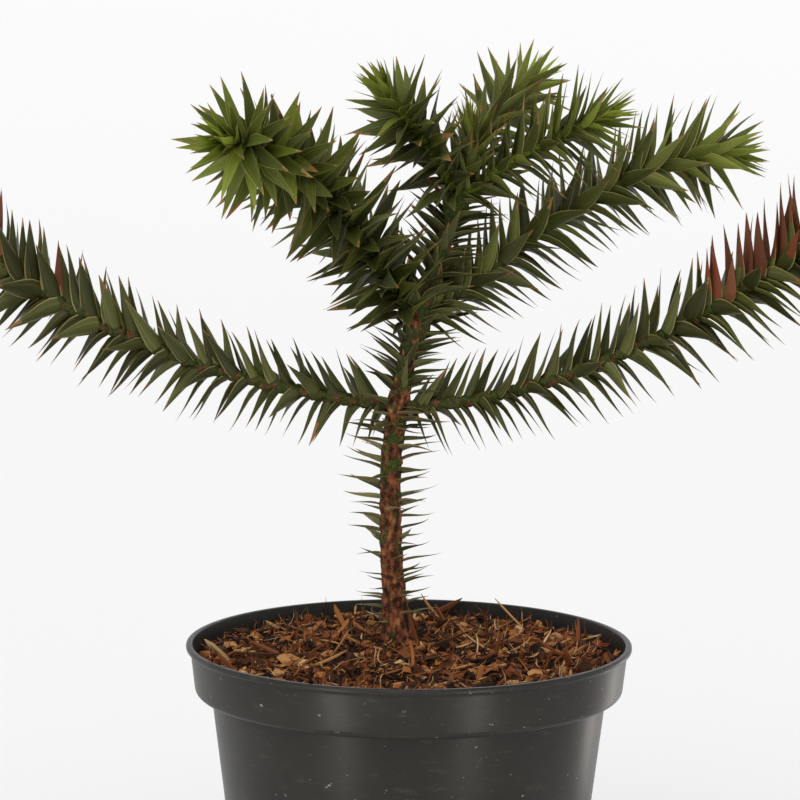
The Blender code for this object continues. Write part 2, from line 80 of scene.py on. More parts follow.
GOLDEN_ANGLE = math.radians(137.508)
LEAF_WIDTH = 0.30
LEAF_CURL = 0.09
BUD_LENGTH = 0.013
BUD_TILT = 16.0
ROOT_DEPTH = 0.35
GAP = 0.0003
SLEEVE = 0.0010  # bark outside the trunk's solid, in the place of the collars' sleeves


class Shoot(NamedTuple):
    """One bough and the stem that goes on from it, as in the part's source."""

    length: float
    leaf: tuple  # length of its leaves, at its start and its tip
    tilt: tuple  # their angle from the stem, above it and below it
    spacing: tuple  # at the plant's full count of leaves, at its start and its tip
    slimness: tuple  # width of its leaves next to LEAF_WIDTH, at its start and its tip
    youth: tuple  # how fresh a green its leaves have, at its start and its tip
    comb: tuple  # how far its flank leaves sweep up or down, at its start and its tip
    facing: tuple = (1.0, 1.0)  # how far its swept leaves roll, above the stem and below it
    browning: float = 0.0  # share of its leaves that have dried, on its outer upper side
    height: float = TRUNK_LENGTH  # where it leaves the trunk
    heading: tuple = (0, 0)  # in degrees, at its start and its tip
    rise: tuple = (0, 0)
    bend: float = 1.0  # how late along it the rise changes


SHOOTS = {
    "lower_left": Shoot(
        height=0.1041, heading=(176, 164), rise=(5, 41), bend=1.14, length=0.232,
        leaf=(0.023, 0.035), tilt=(58, 74), spacing=(0.00172, 0.00110),
        slimness=(0.76, 1.00), youth=(0.0, 0.12), comb=(0.85, 0.40),
        facing=(1.25, 0.85), browning=0.20,
    ),
    "lower_right": Shoot(
        height=0.1041, heading=(-4, -12), rise=(-5, 41.5), bend=0.56, length=0.222,
        leaf=(0.023, 0.035), tilt=(58, 72), spacing=(0.00166, 0.00106),
        slimness=(0.70, 0.98), youth=(0.04, 0.16), comb=(0.85, 0.40),
        facing=(1.25, 0.15), browning=0.85,
    ),
    "upper_left": Shoot(
        height=0.1385, heading=(215, 238), rise=(58, 6.5), bend=1.41, length=0.144,
        leaf=(0.030, 0.031), tilt=(62, 84), spacing=(0.00085, 0.00065),
        slimness=(0.86, 0.74), youth=(0.16, 0.72), comb=(0.20, 0.0),
    ),
    "upper_right": Shoot(
        height=0.1397, heading=(18, 10), rise=(35.7, -2), bend=3.73, length=0.159,
        leaf=(0.028, 0.030), tilt=(56, 72), spacing=(0.00124, 0.00080),
        slimness=(0.82, 0.70), youth=(0.10, 0.60), comb=(0.48, 0.25), facing=(1.15, 0.15),
    ),
    "crown_left": Shoot(
        height=0.1965, heading=(235, 210), rise=(49, 47), bend=1.00, length=0.059,
        leaf=(0.025, 0.029), tilt=(62, 78), spacing=(0.00095, 0.00055),
        slimness=(0.84, 0.72), youth=(0.10, 0.75), comb=(0.20, 0.0),
    ),
    "crown_right": Shoot(
        height=0.1955, heading=(-24, -14), rise=(46, 23.5), bend=0.50, length=0.072,
        leaf=(0.026, 0.029), tilt=(54, 72), spacing=(0.00105, 0.00060),
        slimness=(0.62, 0.56), youth=(0.15, 0.85), comb=(0.42, 0.20), facing=(1.1, 0.3),
    ),
    "crown_back": Shoot(
        height=0.1925, heading=(60, 45), rise=(60, 20.8), bend=1.43, length=0.076,
        leaf=(0.026, 0.028), tilt=(56, 74), spacing=(0.00100, 0.00058),
        slimness=(0.60, 0.58), youth=(0.22, 1.00), comb=(0.30, 0.0), facing=(1.0, 0.5),
    ),
}

LEADER = Shoot(
    length=0.021, leaf=(0.025, 0.024), tilt=(44, 44), spacing=(0.00046, 0.00034),
    slimness=(0.48, 0.40), youth=(0.25, 0.60), comb=(0.0, 0.0),
)
LEADER_RADIUS = (0.0022, 0.0016)


class Storey(NamedTuple):
    """What the shoots of one storey share."""

    bough: float  # how far out from the trunk the foliage mass starts
    radius: tuple
    cushion: float  # height of the swelling under a leaf
    stem: tuple  # material: its name, two greens, and how rare its brown patches are


STOREYS = {
    "lower": Storey(
        0.014, (0.0023, 0.0020), 0.0013,
        ("green_stem", (0.014, 0.020, 0.004), (0.072, 0.084, 0.014), 0.53),
    ),
    "upper": Storey(
        0.013, (0.0022, 0.0019), 0.0010,
        ("dark_stem", (0.012, 0.018, 0.003), (0.070, 0.088, 0.011), 0.68),
    ),
    "crown": Storey(
        0.009, (0.0018, 0.0017), 0.0008,
        ("young_stem", (0.026, 0.042, 0.005), (0.150, 0.205, 0.014), 0.66),
    ),
}


class Collar(NamedTuple):
    """Trunk leaves round one stretch of the trunk, as in the part's source."""

    stretch: tuple
    leaf: tuple
    tilt: tuple
    slimness: float
    spacing: float
    sweep: float  # how far its leaves bend sideways round the trunk, in degrees
    comb: float  # how far its leaves gather to the trunk's two sides
    facing: float  # how far the gathered leaves roll
    aged: bool  # whether its leaves have the olive brown of old trunk leaves


COLLARS = {
    "low": Collar(
        stretch=(0.007, 0.0920), leaf=(0.0150, 0.0225), tilt=(82, 82), slimness=0.56,
        spacing=0.00116, sweep=24.0, comb=0.35, facing=0.1, aged=True,
    ),
    "whorl": Collar(
        stretch=(0.0920, 0.1060), leaf=(0.0200, 0.0225), tilt=(86, 86), slimness=0.62,
        spacing=0.00045, sweep=34.0, comb=0.1, facing=0.4, aged=True,
    ),
    "middle": Collar(
        stretch=(0.1070, 0.1375), leaf=(0.0200, 0.0240), tilt=(70, 70), slimness=0.58,
        spacing=0.00070, sweep=24.0, comb=0.3, facing=0.5, aged=False,
    ),
    "high": Collar(
        stretch=(0.1390, 0.1960), leaf=(0.0290, 0.0230), tilt=(66, 66), slimness=0.66,
        spacing=0.00070, sweep=14.0, comb=0.32, facing=0.8, aged=False,
    ),
}
COLLAR_NODES = {"low": "low", "whorl": "low", "middle": "middle", "high": "high"}


# ---- growing, as the source


def lerp(pair, part):
    return pair[0] + (pair[1] - pair[0]) * part


def spaced(start, end, count):
    return [start + (end - start) * k / count for k in range(count + 1)]


def smoothstep(value):
    value = min(1.0, max(0.0, value))
    return value * value * (3 - 2 * value)


def direction(heading, rise):
    flat = math.cos(rise)
    return Vector((flat * math.cos(heading), flat * math.sin(heading), math.sin(rise)))


def trunk_direction(part):
    start, end = TRUNK_TURN
    lean = math.radians(lerp(TRUNK_LEAN, smoothstep((part - start) / (end - start))))
    return Vector((math.sin(lean), 0.0, math.cos(lean)))


def shoot_direction(shoot, part):
    rise = lerp(shoot.rise, part**shoot.bend)
    return direction(math.radians(lerp(shoot.heading, part)), math.radians(rise))


class Stem:
    """A centre line walked out in short straight steps, with a frame at every point."""

    STEPS = 60

    def __init__(self, start, heading_at, length, radius_at):
        self.length = length
        self.radius_at = radius_at
        self.points = [Vector(start)]
        self.tangents = []
        for step in range(self.STEPS):
            ahead = heading_at((step + 0.5) / self.STEPS)
            self.tangents.append(ahead)
            self.points.append(self.points[-1] + ahead * length / self.STEPS)
        self.tangents.append(heading_at(1.0))
        side = self.tangents[0].cross(Vector((0.0, 1.0, 0.3))).normalized()
        self.sides = []
        for tangent in self.tangents:
            side = (side - tangent * side.dot(tangent)).normalized()
            self.sides.append(side)

    def at(self, distance):
        """Point, direction ahead, and two directions across, at a distance along."""
        place = min(max(distance / self.length, 0.0), 1.0) * self.STEPS
        low = min(int(place), self.STEPS - 1)
        part = place - low
        point = self.points[low].lerp(self.points[low + 1], part)
        ahead = self.tangents[low].lerp(self.tangents[low + 1], part).normalized()
        side = self.sides[low].lerp(self.sides[low + 1], part)
        side = (side - ahead * side.dot(ahead)).normalized()
        return point, ahead, side, ahead.cross(side)


def trunk_radius(distance):
    taper = TRUNK_RADIUS[0] + (TRUNK_RADIUS[1] - TRUNK_RADIUS[0]) * distance / TRUNK_LENGTH
    return taper + FLARE * math.exp(-distance / FLARE_HEIGHT)


def linear_radius(radius, length):
    return lambda distance: radius[0] + (radius[1] - radius[0]) * distance / length


OVER = Vector((0.0, 0.0, 1.0))
SIDEWAYS = Vector((1.0, 0.0, 0.0))

# From leaf to leaf: turn round the stem, roll and tilt in degrees, and size
TURN_SPREAD = 7
ROLL_SPREAD = 17.0
TILT_SPREAD = 4.5
SIZE_SPREAD = (0.88, 1.07)
COLLAR_SIZE_SPREAD = (0.72, 1.04)
BASE_BREADTH = (0.70, 0.28)  # width at a leaf's root: at rest, and more of it by the comb

# In a closing bud the leaves are shorter, slimmer and closer by these shares
BUD_SHORTER, BUD_SLIMMER, BUD_CLOSER = 0.28, 0.22, 0.55
YOUTH_BEND = 5  # how late along a shoot its leaves turn young
CLOSER_FROM = 0.3  # the part of a shoot from which its leaves stand closer

# Leaves that point away from the way their neighbours sweep hide a shoot or the trunk.
# Some are left out on a shoot with much sweep, most of all near its start.
SHOOT_FLANK, COLLAR_FLANK = 0.88, 0.85
THINNING, THIN_SWEEP, THIN_END = 1.6, 0.35, 1.1
YOUNG_THINNING = 0.4  # on the young bark, next to the old
WRAP = (50.0, 80.0)  # an old leaf in front of the bark lies round it by this many degrees
LAID_UP = (0.45, 0.75)  # a young one lies up along the trunk by this share
COLLAR_MARGIN = 0.0010
COLLAR_SUNK = 0.0004
AGED_YOUTH = -0.5


class Leaf(NamedTuple):
    root: Vector
    along: Vector
    across: Vector
    length: float
    width: float
    youth: float  # from 0, old, to 1; under 0 it is an aged trunk leaf
    outer: float  # how far out along its shoot it stands, from 0 to 1
    raised: float  # 1 on top of its shoot, -1 underneath
    flank: float  # 1 where it points away from the way that its neighbours sweep
    broad: float  # width at its root, next to its widest
    distance: float  # its place along the stem
    turn: float  # its place round the stem


def swept(ahead, outward, comb, towards):
    """A leaf's way out once it sweeps towards a direction or its opposite.

    Also how far it turned for that, and its flank.
    """
    over = (towards - ahead * ahead.dot(towards)).normalized()
    flat = ahead.cross(over)
    turn = math.atan2(outward.dot(flat), outward.dot(over))
    bent = turn - comb * math.sin(2 * turn)
    return math.cos(bent) * over + math.sin(bent) * flat, turn - bent, abs(math.sin(bent))


def place_leaf(stem, distance, turn, tilt, length, slimness, youth, depth, comb, towards, facing):
    point, ahead, side, up = stem.at(distance)
    turn += math.radians(rng.uniform(-TURN_SPREAD, TURN_SPREAD))
    outward = math.cos(turn) * side + math.sin(turn) * up
    root = point + outward * depth
    outward, twist, flank = swept(ahead, outward, comb, towards)
    level = 0.5 + 0.5 * outward.z
    roll = math.radians(rng.gauss(0, ROLL_SPREAD))
    roll += twist * lerp(facing[::-1], level)
    angle = math.radians(lerp(tilt[::-1], level) + rng.gauss(0, TILT_SPREAD))
    along = math.cos(angle) * ahead + math.sin(angle) * outward
    across = Matrix.Rotation(roll, 3, along) @ ahead.cross(outward)
    size = length * rng.uniform(*SIZE_SPREAD)
    return Leaf(
        root, along, across, size, size * LEAF_WIDTH * slimness, youth, distance / stem.length,
        outward.z, flank, BASE_BREADTH[0] + BASE_BREADTH[1] * comb, distance, turn,
    )


def shoot_leaves(stem, start, shoot):
    """Leaves in a golden angle spiral along a shoot, closing into a bud at its tip."""
    leaves = []
    youth, spacing = shoot.youth, shoot.spacing
    distance, turn = start + spacing[0], rng.uniform(0, math.tau)
    bud = stem.length - BUD_LENGTH
    while distance < stem.length:
        closing = smoothstep((distance - bud) / BUD_LENGTH)
        opening = [lerp((angle, BUD_TILT), closing) for angle in shoot.tilt]
        part = (distance - start) / (stem.length - start)
        size = lerp(shoot.leaf, part) * (1 - BUD_SHORTER * closing)
        slim = lerp(shoot.slimness, part) * (1 - BUD_SLIMMER * closing)
        depth = ROOT_DEPTH * stem.radius_at(distance)
        fresh = lerp(youth, part**YOUTH_BEND) + (1 - youth[1]) * closing
        bend = lerp(shoot.comb, part)
        leaf = place_leaf(
            stem, distance, turn, opening, size, slim, fresh, depth, bend, OVER, shoot.facing
        )
        thinned = THINNING * (bend - THIN_SWEEP) * (THIN_END - part)
        if leaf.flank < SHOOT_FLANK or rng.random() > thinned:
            leaves.append(leaf)
        turn += GOLDEN_ANGLE
        pitch = lerp(spacing, smoothstep((part - CLOSER_FROM) / (1 - CLOSER_FROM)))
        distance += pitch * (1 - BUD_CLOSER * closing)
    return leaves


def collar_leaves(stem, collar):
    """Leaves in the same spiral round a stretch of the trunk."""
    start, end = collar.stretch
    leaves = []
    distance, turn = start + COLLAR_MARGIN, rng.uniform(0, math.tau)
    while distance < end - COLLAR_MARGIN:
        length = lerp(collar.leaf, (distance - start) / (end - start))
        depth = stem.radius_at(distance) - COLLAR_SUNK
        fresh = AGED_YOUTH if collar.aged else 0.0
        leaf = place_leaf(
            stem, distance, turn, collar.tilt, length, collar.slimness, fresh, depth,
            collar.comb, SIDEWAYS, (collar.facing, collar.facing),
        )
        thinned = collar.comb * (1.0 if collar.aged else YOUNG_THINNING)
        if leaf.flank < COLLAR_FLANK or rng.random() > thinned:
            ahead = stem.at(distance)[1]
            aside = rng.gauss(0, collar.sweep)
            if leaf.flank > COLLAR_FLANK and collar.aged:
                aside = rng.choice((-1, 1)) * rng.uniform(*WRAP)
            elif leaf.flank > COLLAR_FLANK:
                along = leaf.along.lerp(ahead, rng.uniform(*LAID_UP)).normalized()
                across = (leaf.across - along * along.dot(leaf.across)).normalized()
                leaf = leaf._replace(along=along, across=across)
            around = Matrix.Rotation(math.radians(aside), 3, ahead)
            along, across = around @ leaf.along, around @ leaf.across
            shrunk = leaf.length * rng.uniform(*COLLAR_SIZE_SPREAD)
            leaves.append(leaf._replace(along=along, across=across, length=shrunk))
        turn += GOLDEN_ANGLE
        distance += collar.spacing
    return leaves


# ---- materials


class Nodes:
    """A new material, with short ways to add nodes. Each gives back the node's output."""

    def __init__(self, name):
        self.material = bpy.data.materials.new(name)
        self.material.use_nodes = True
        self.tree = self.material.node_tree

    def fill(self, node, inputs):
        """Link or set a node's inputs, by name or number."""
        for key, value in inputs.items():
            socket = node.inputs[key]
            if isinstance(value, bpy.types.NodeSocket):
                self.tree.links.new(value, socket)
            elif value is not None:
                socket.default_value = (*value, 1.0) if socket.type == "RGBA" else value

    def add(self, kind, inputs, output=0, **settings):
        node = self.tree.nodes.new(kind)
        for name, value in settings.items():
            setattr(node, name, value)
        self.fill(node, inputs)
        return node.outputs[output]

    def place(self, scale=(1.0, 1.0, 1.0), kind="Object"):
        """The piece's own coordinates, stretched."""
        where = self.add("ShaderNodeTexCoord", {}, kind)
        return self.add("ShaderNodeMapping", {"Scale": scale, "Vector": where})

    def noise(self, place, scale, detail=4.0, rough=0.55):
        inputs = {"Scale": scale, "Detail": detail, "Roughness": rough, "Vector": place}
        return self.add("ShaderNodeTexNoise", inputs, "Fac")

    def spread(self, value, low, high, out_low=0.0, out_high=1.0):
        inputs = dict(enumerate((value, low, high, out_low, out_high)))
        return self.add("ShaderNodeMapRange", inputs)

    def ramp(self, value, stops):
        node = self.tree.nodes.new("ShaderNodeValToRGB")
        elements = node.color_ramp.elements
        while len(elements) < len(stops):
            elements.new(0.5)
        for element, (position, colour) in zip(elements, stops):
            element.position = position
            element.color = (*colour, 1.0)
        self.fill(node, {0: value})
        return node.outputs[0]

    def mix(self, factor, first, second):
        inputs = {0: factor, 6: first, 7: second}
        return self.add("ShaderNodeMix", inputs, 2, data_type="RGBA")

    def bump(self, height, distance, strength=1.0, before=None):
        inputs = {"Strength": strength, "Distance": distance, "Height": height, "Normal": before}
        return self.add("ShaderNodeBump", inputs)

    def finished(self, colour, roughness, specular, normal=None):
        shader = self.tree.nodes["Principled BSDF"]
        inputs = {"Base Color": colour, "Roughness": roughness, "Normal": normal}
        self.fill(shader, inputs | {"Specular IOR Level": specular})
        return self.material


def mixed(first, second, part):
    return tuple(lerp(pair, part) for pair in zip(first, second))


def scaled(colour, factor):
    return tuple(channel * factor for channel in colour)


class Tint(NamedTuple):
    """A leaf's plain colours, one for each of its parts."""

    blade: tuple
    line: tuple
    margin: tuple
    tip: tuple
    under: tuple
    base: tuple


OLD = Tint(
    blade=(0.066, 0.071, 0.017),
    line=(0.112, 0.115, 0.038),
    margin=(0.260, 0.212, 0.077),
    tip=(0.270, 0.135, 0.047),
    under=(0.084, 0.087, 0.025),
    base=(0.044, 0.057, 0.010),
)
YOUNG = Tint(
    blade=(0.222, 0.280, 0.024),
    line=(0.275, 0.335, 0.040),
    margin=(0.400, 0.410, 0.085),
    tip=(0.400, 0.290, 0.090),
    under=(0.220, 0.268, 0.024),
    base=(0.200, 0.265, 0.012),
)
AGED = Tint(
    blade=(0.155, 0.142, 0.054),
    line=(0.230, 0.205, 0.090),
    margin=(0.400, 0.305, 0.130),
    tip=(0.430, 0.290, 0.125),
    under=(0.180, 0.160, 0.068),
    base=(0.045, 0.055, 0.016),
)
BROWNS = ((0.280, 0.120, 0.042), (0.200, 0.074, 0.030), (0.310, 0.170, 0.064))
DEAD = ((0.205, 0.058, 0.025), (0.270, 0.100, 0.048), (0.140, 0.048, 0.022))
YOUTHS = 6
YOUTH_SPREAD = (-0.10, 0.12)
OLD_YOUTH_SPREAD = 0.45  # share of that spread on the oldest leaves
SHADES = (0.56, 0.92, 1.30)
SHADE_SHARES = (0, 0, 1, 1, 2)
SHADED = ("blade", "line", "under")
LEAF_ROUGHNESS, EDGE_ROUGHNESS, DRY_ROUGHNESS = 0.40, 0.5, 0.6
OLD_UNTIL = 0.4  # youth under which half of the leaves have a brown tip
DRY_FROM, DRY_OVER = 0.55, 0.11  # where along its shoot a leaf may have dried

leaf_materials = {}


def leaf_material(name, colour, roughness=LEAF_ROUGHNESS):
    """A waxy leaf in one plain colour, with fine lines and grains in its gloss."""
    if name not in leaf_materials:
        nodes = Nodes(name)
        lines = nodes.noise(nodes.place((0.5, 16.0, 1.0), "UV"), 1.0, 3.0)
        grains = nodes.noise(nodes.place((20.0, 20.0, 1.0), "UV"), 1.0, 2.0)
        leaf_materials[name] = nodes.finished(
            colour=colour,
            specular=0.21,
            roughness=nodes.spread(grains, 0.35, 0.65, roughness + 0.20, roughness - 0.10),
            normal=nodes.bump(grains, 0.00025, 1.0, nodes.bump(lines, 0.0002, 0.8)),
        )
    return leaf_materials[name]


def dress(leaf, browning):
    """The materials of a leaf's parts, and whether it has dried."""
    if leaf.youth < 0:
        age, tint = "aged", AGED
    else:
        spread = rng.uniform(*YOUTH_SPREAD)
        spread *= OLD_YOUTH_SPREAD + (1 - OLD_YOUTH_SPREAD) * smoothstep(leaf.youth / 0.3)
        level = round(min(1.0, max(0.0, leaf.youth + spread)) * (YOUTHS - 1))
        age = str(level)
        tint = Tint(*(mixed(old, new, level / (YOUTHS - 1)) for old, new in zip(OLD, YOUNG)))
    shade = rng.choice(SHADE_SHARES)
    used = []
    for part, colour in zip(Tint._fields, tint):
        if part in SHADED:
            used.append(leaf_material(f"leaf_{part}_{age}_{shade}", scaled(colour, SHADES[shade])))
        else:
            rough = LEAF_ROUGHNESS if part == "base" else EDGE_ROUGHNESS
            used.append(leaf_material(f"leaf_{part}_{age}", colour, rough))
    dries = browning * smoothstep((leaf.outer - DRY_FROM) / DRY_OVER)
    dried = rng.random() < dries * smoothstep(0.2 + leaf.raised)
    if dried:
        dead = rng.randrange(len(DEAD))
        used[TIP_PART] = leaf_material(f"leaf_dry_{dead}", DEAD[dead], DRY_ROUGHNESS)
    elif leaf.youth < OLD_UNTIL and rng.random() < 0.5:
        brown = rng.randrange(len(BROWNS))
        used[TIP_PART] = leaf_material(f"leaf_brown_{brown}", BROWNS[brown], EDGE_ROUGHNESS)
    return used, dried


# ---- meshes


def new_object(name, data):
    made = bpy.data.objects.new(name, data)
    bpy.context.scene.collection.objects.link(made)
    return made


def add_piece(
    name, vertices, faces, materials, slots, node, smooth=True, uv=None, sharp=None
):
    """One joined mesh piece of four sided faces that stands for a CAD node."""
    mesh = bpy.data.meshes.new(name)
    faces = np.asarray(faces, dtype=np.int32)
    mesh.vertices.add(len(vertices))
    mesh.vertices.foreach_set("co", np.asarray(vertices, dtype=np.float32).ravel())
    mesh.loops.add(faces.size)
    mesh.loops.foreach_set("vertex_index", faces.ravel())
    mesh.polygons.add(len(faces))
    mesh.polygons.foreach_set("loop_start", np.arange(0, faces.size, 4, dtype=np.int32))
    for made in materials:
        mesh.materials.append(made)
    if slots is not None:
        mesh.polygons.foreach_set("material_index", np.asarray(slots, dtype=np.int32))
    mesh.update(calc_edges=True)
    mesh.polygons.foreach_set("use_smooth", np.full(len(faces), smooth))
    if uv is not None:
        layer = mesh.uv_layers.new(name="along")
        layer.data.foreach_set("uv", np.asarray(uv, dtype=np.float32)[faces.ravel()].ravel())
    if sharp is not None:
        ends = np.empty(len(mesh.edges) * 2, dtype=np.int32)
        mesh.edges.foreach_get("vertices", ends)
        ends = ends.reshape(-1, 2)
        marks = mesh.attributes.new("sharp_edge", "BOOLEAN", "EDGE")
        marks.data.foreach_set("value", sharp[ends[:, 0]] & sharp[ends[:, 1]])
    mesh.validate()
    thing = new_object(name, mesh)
    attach(thing, "root")
    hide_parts(node)
    return thing


def grid_faces(rows, columns):
    """Four sided faces round a tube of rings, with a fan of the same at both ends.

    The rings run anticlockwise seen from the tube's far end, and have an even count.
    """
    faces = []
    for row in range(rows - 1):
        for column in range(columns):
            here = row * columns + column
            beside = row * columns + (column + 1) % columns
            faces.append((here, beside, beside + columns, here + columns))
    last = (rows - 1) * columns
    for column in range(1, columns - 2, 2):
        faces.append((0, column + 2, column + 1, column))
        faces.append((last, last + column, last + column + 1, last + column + 2))
    return np.array(faces)


def repeated(faces, count, size):
    """The same faces for a count of small pieces, of this many points each."""
    return (faces[None] + size * np.arange(count)[:, None, None]).reshape(-1, 4)


# A leaf's grid: rows from root to tip, and a ring over its upper side and back under it
ROWS = np.array([0.0, 0.08, 0.20, 0.36, 0.54, 0.72, 0.85, 0.94, 1.0])
UPPER = (1.0, 0.93, 0.62, 0.50, 0.0, -0.50, -0.62, -0.93, -1.0)
LOWER = (-0.92, -0.60, -0.48, 0.0, 0.48, 0.60, 0.92)
RING = UPPER + LOWER
BLADE_PART, LINE_PART, MARGIN_PART, TIP_PART, UNDER_PART, BASE_PART = range(6)
RING_PARTS = [
    part
    for flat in (BLADE_PART, UNDER_PART)
    for part in (MARGIN_PART, flat, LINE_PART, flat, flat, LINE_PART, flat, MARGIN_PART)
]
ONE_SIDE = (1, 2, 3, 12, 13, 14)  # the ring's faces on one side of the midrib

# Chances that the tip's colour starts, on one side, in a leaf's row of faces 1, 2 and on to 6
DRIED_TIPS = (0.60, 0.18, 0.12, 0.10, 0.0, 0.0)
OLD_TIPS = (0.0, 0.0, 0.0, 0.02, 0.20, 0.78)
YOUNG_TIPS = (0.0, 0.0, 0.0, 0.0, 0.03, 0.97)

WIDEST_AT = 0.34  # where along a leaf at rest it is widest
BLUNT_TIP = 0.026  # width left at its tip, next to its widest
CROOK_END = 0.6  # how far along a leaf the bend near its root goes
UNDER_CROOK = 0.35  # more of that bend on leaves underneath a shoot

# From leaf to leaf: width, bend near the root, curl at the tip, trough, and bends aside
WIDTHS, CROOKS, CURLS, TROUGHS = (0.86, 1.10), (0.10, 0.45), (-0.15, 0.35), (0.20, 0.50)
AGED_CURL = 2.0  # how much more an aged trunk leaf bends out of its line
SWAY_SPREAD, TWIST_SPREAD = 0.030, 0.16
PATTERN_SIZE = 0.01
PATTERN_SHIFT = 90


def leaf_faces():
    """Faces of one leaf, with the part and the row of the leaf that each belongs to."""
    faces = grid_faces(len(ROWS), len(RING))
    sides = (len(ROWS) - 1) * len(RING)
    parts = np.full(len(faces), TIP_PART)
    parts[:sides] = np.tile(RING_PARTS, len(ROWS) - 1)
    rows = np.full(len(faces), len(ROWS) - 2)
    rows[:sides] = np.repeat(np.arange(len(ROWS) - 1), len(RING))
    return faces, parts, rows


def half_width(part, broad):
    """Outline of a leaf from its root to a fine point, nearer a triangle where it is broad."""
    widest = WIDEST_AT - 0.7 * (broad - BASE_BREADTH[0])
    swell = np.clip(part / widest, 0, 1)
    root = broad + (1 - broad) * swell * swell * (3 - 2 * swell)
    taper = np.clip((part - widest) / (1 - widest), 0, 1)
    return root * (1 - taper ** (2.4 - 1.3 * broad)) * (1 - 0.2 * taper) + BLUNT_TIP


def rotated(first, second, angle):
    """Two directions, or two lengths along them, turned from the first to the second."""
    cos, sin = np.cos(angle), np.sin(angle)
    return first * cos - second * sin, first * sin + second * cos


def leaf_points(leaves):
    """Vertices and pattern coordinates of every leaf, as arrays."""
    count = len(leaves)
    root, along, across, length, width, raised, youth, broad = (
        np.array([getattr(leaf, name) for leaf in leaves])
        for name in ("root", "along", "across", "length", "width", "raised", "youth", "broad")
    )
    up = np.cross(along, across)
    width = width * deal.uniform(*WIDTHS, count)
    crook = deal.uniform(*CROOKS, count) + UNDER_CROOK * (0.5 - 0.5 * raised)
    curl = deal.uniform(*CURLS, count) * np.where(youth < 0, AGED_CURL, 1.0)
    angle = crook[:, None] * np.clip(1 - ROWS / CROOK_END, 0, 1) ** 2 + curl[:, None] * ROWS**2
    middle = 0.5 * (angle[:, 1:] + angle[:, :-1])
    step = np.diff(ROWS) * length[:, None]
    forth, over = (
        np.concatenate([np.zeros((count, 1)), np.cumsum(wave(middle) * step, 1)], 1)
        for wave in (np.cos, np.sin)
    )
    back = LEAF_CURL - np.arctan2(over[:, -1], forth[:, -1])
    forth, over = rotated(forth, over, back[:, None])
    spine = root[:, None] + along[:, None] * forth[..., None] + up[:, None] * over[..., None]
    sway = deal.normal(0, SWAY_SPREAD, count)[:, None] * length[:, None] * (ROWS**2 - ROWS)
    spine = spine + across[:, None] * sway[..., None]
    heading = angle + back[:, None]
    twist = deal.normal(0, TWIST_SPREAD, count)[:, None] * ROWS
    normal, _ = rotated(up[:, None], along[:, None], heading[..., None])
    normal, aside = rotated(normal, across[:, None], twist[..., None])
    half = 0.5 * width[:, None] * half_width(ROWS, broad[:, None])
    trough = deal.uniform(*TROUGHS, count)[:, None] * half * (1.15 - 0.5 * ROWS)
    thick = width[:, None] * (0.03 + 0.17 * (1 - ROWS) ** 1.3)
    vertices = np.empty((count, len(ROWS), len(RING), 3))
    pattern = np.empty((count, len(ROWS), len(RING), 2))
    shift = deal.uniform(0, PATTERN_SHIFT, (count, 2))
    for column, place in enumerate(RING):
        rise = trough * place * place
        if column >= len(UPPER):
            rise = rise - thick * (1 - abs(place)) ** 0.8 * (half / half.max(1)[:, None])
        offset = aside * (place * half)[..., None] + normal * rise[..., None]
        vertices[:, :, column] = spine + offset
        pattern[:, :, column, 0] = ROWS * length[:, None] / PATTERN_SIZE + shift[:, :1]
        pattern[:, :, column, 1] = place * half / PATTERN_SIZE + shift[:, 1:]
    return vertices.reshape(-1, 3), pattern.reshape(-1, 2)


def add_leaves(name, leaves, browning=0.0, node=None):
    """A foliage mass's leaves as one piece, each with its own colours and tip."""
    faces, parts, rows = leaf_faces()
    vertices, pattern = leaf_points(leaves)
    all_faces = repeated(faces, len(leaves), len(ROWS) * len(RING))
    one_side = np.isin(np.arange(len(faces)) % len(RING), ONE_SIDE)
    materials, slots = [], []
    for leaf in leaves:
        used, dried = dress(leaf, browning)
        chances = DRIED_TIPS if dried else OLD_TIPS if leaf.youth < OLD_UNTIL else YOUNG_TIPS
        first = rng.choices((1, 2, 3, 4, 5, 6), chances)[0]
        kind = parts.copy()
        inside = dried | (parts != MARGIN_PART)
        kind[(rows >= first + 1) & inside] = TIP_PART
        kind[(rows == first) & one_side & inside] = TIP_PART
        kind[rows == 0] = BASE_PART
        numbers = []
        for made in used:
            if made not in materials:
                materials.append(made)
            numbers.append(materials.index(made))
        slots.append(np.array(numbers)[kind])
    sharp = np.zeros((len(leaves), len(ROWS), len(RING)), dtype=bool)
    sharp[:, :, 0] = True
    sharp[:, :, len(UPPER) - 1] = True
    add_piece(
        f"leaves_{name}", vertices, all_faces, materials, np.concatenate(slots),
        f"foliage_{node or name}", uv=pattern, sharp=sharp.ravel(),
    )


# ---- limbs


CUSHION_REACH = 0.0060  # how far a cushion runs down from its leaf
CUSHION_BEHIND = 0.3  # and up from it, next to that
CUSHION_WIDTH = 0.42  # half of its width, next to its leaf's
TRUNK_CUSHION, TRUNK_CUSHION_REACH = 0.0006, 0.0055


def cushion_field(leaves, height, reach):
    """Swelling of the stem under every leaf, as a function of distance and turn."""
    behind = CUSHION_BEHIND * reach
    places = np.array([(leaf.distance, leaf.turn) for leaf in leaves])
    widths = np.array([leaf.width for leaf in leaves])

    def swelling(distance, turn, radius):
        ahead = places[:, 0] - distance
        near = (ahead > -behind) & (ahead < reach)
        if not near.any():
            return 0.0
        gone = ahead[near]
        apart = (places[near, 1] - turn + math.pi) % math.tau - math.pi
        wide = CUSHION_WIDTH * widths[near] * (1 - np.clip(gone, 0, reach) / reach * 0.75)
        rise = np.where(gone > 0, 1 - gone / reach, 1 + gone / behind)
        ridge = np.clip(1 - (apart * radius / wide) ** 2, 0, 1)
        return height * float((np.clip(rise, 0, 1) ** 0.8 * ridge).max())

    return swelling


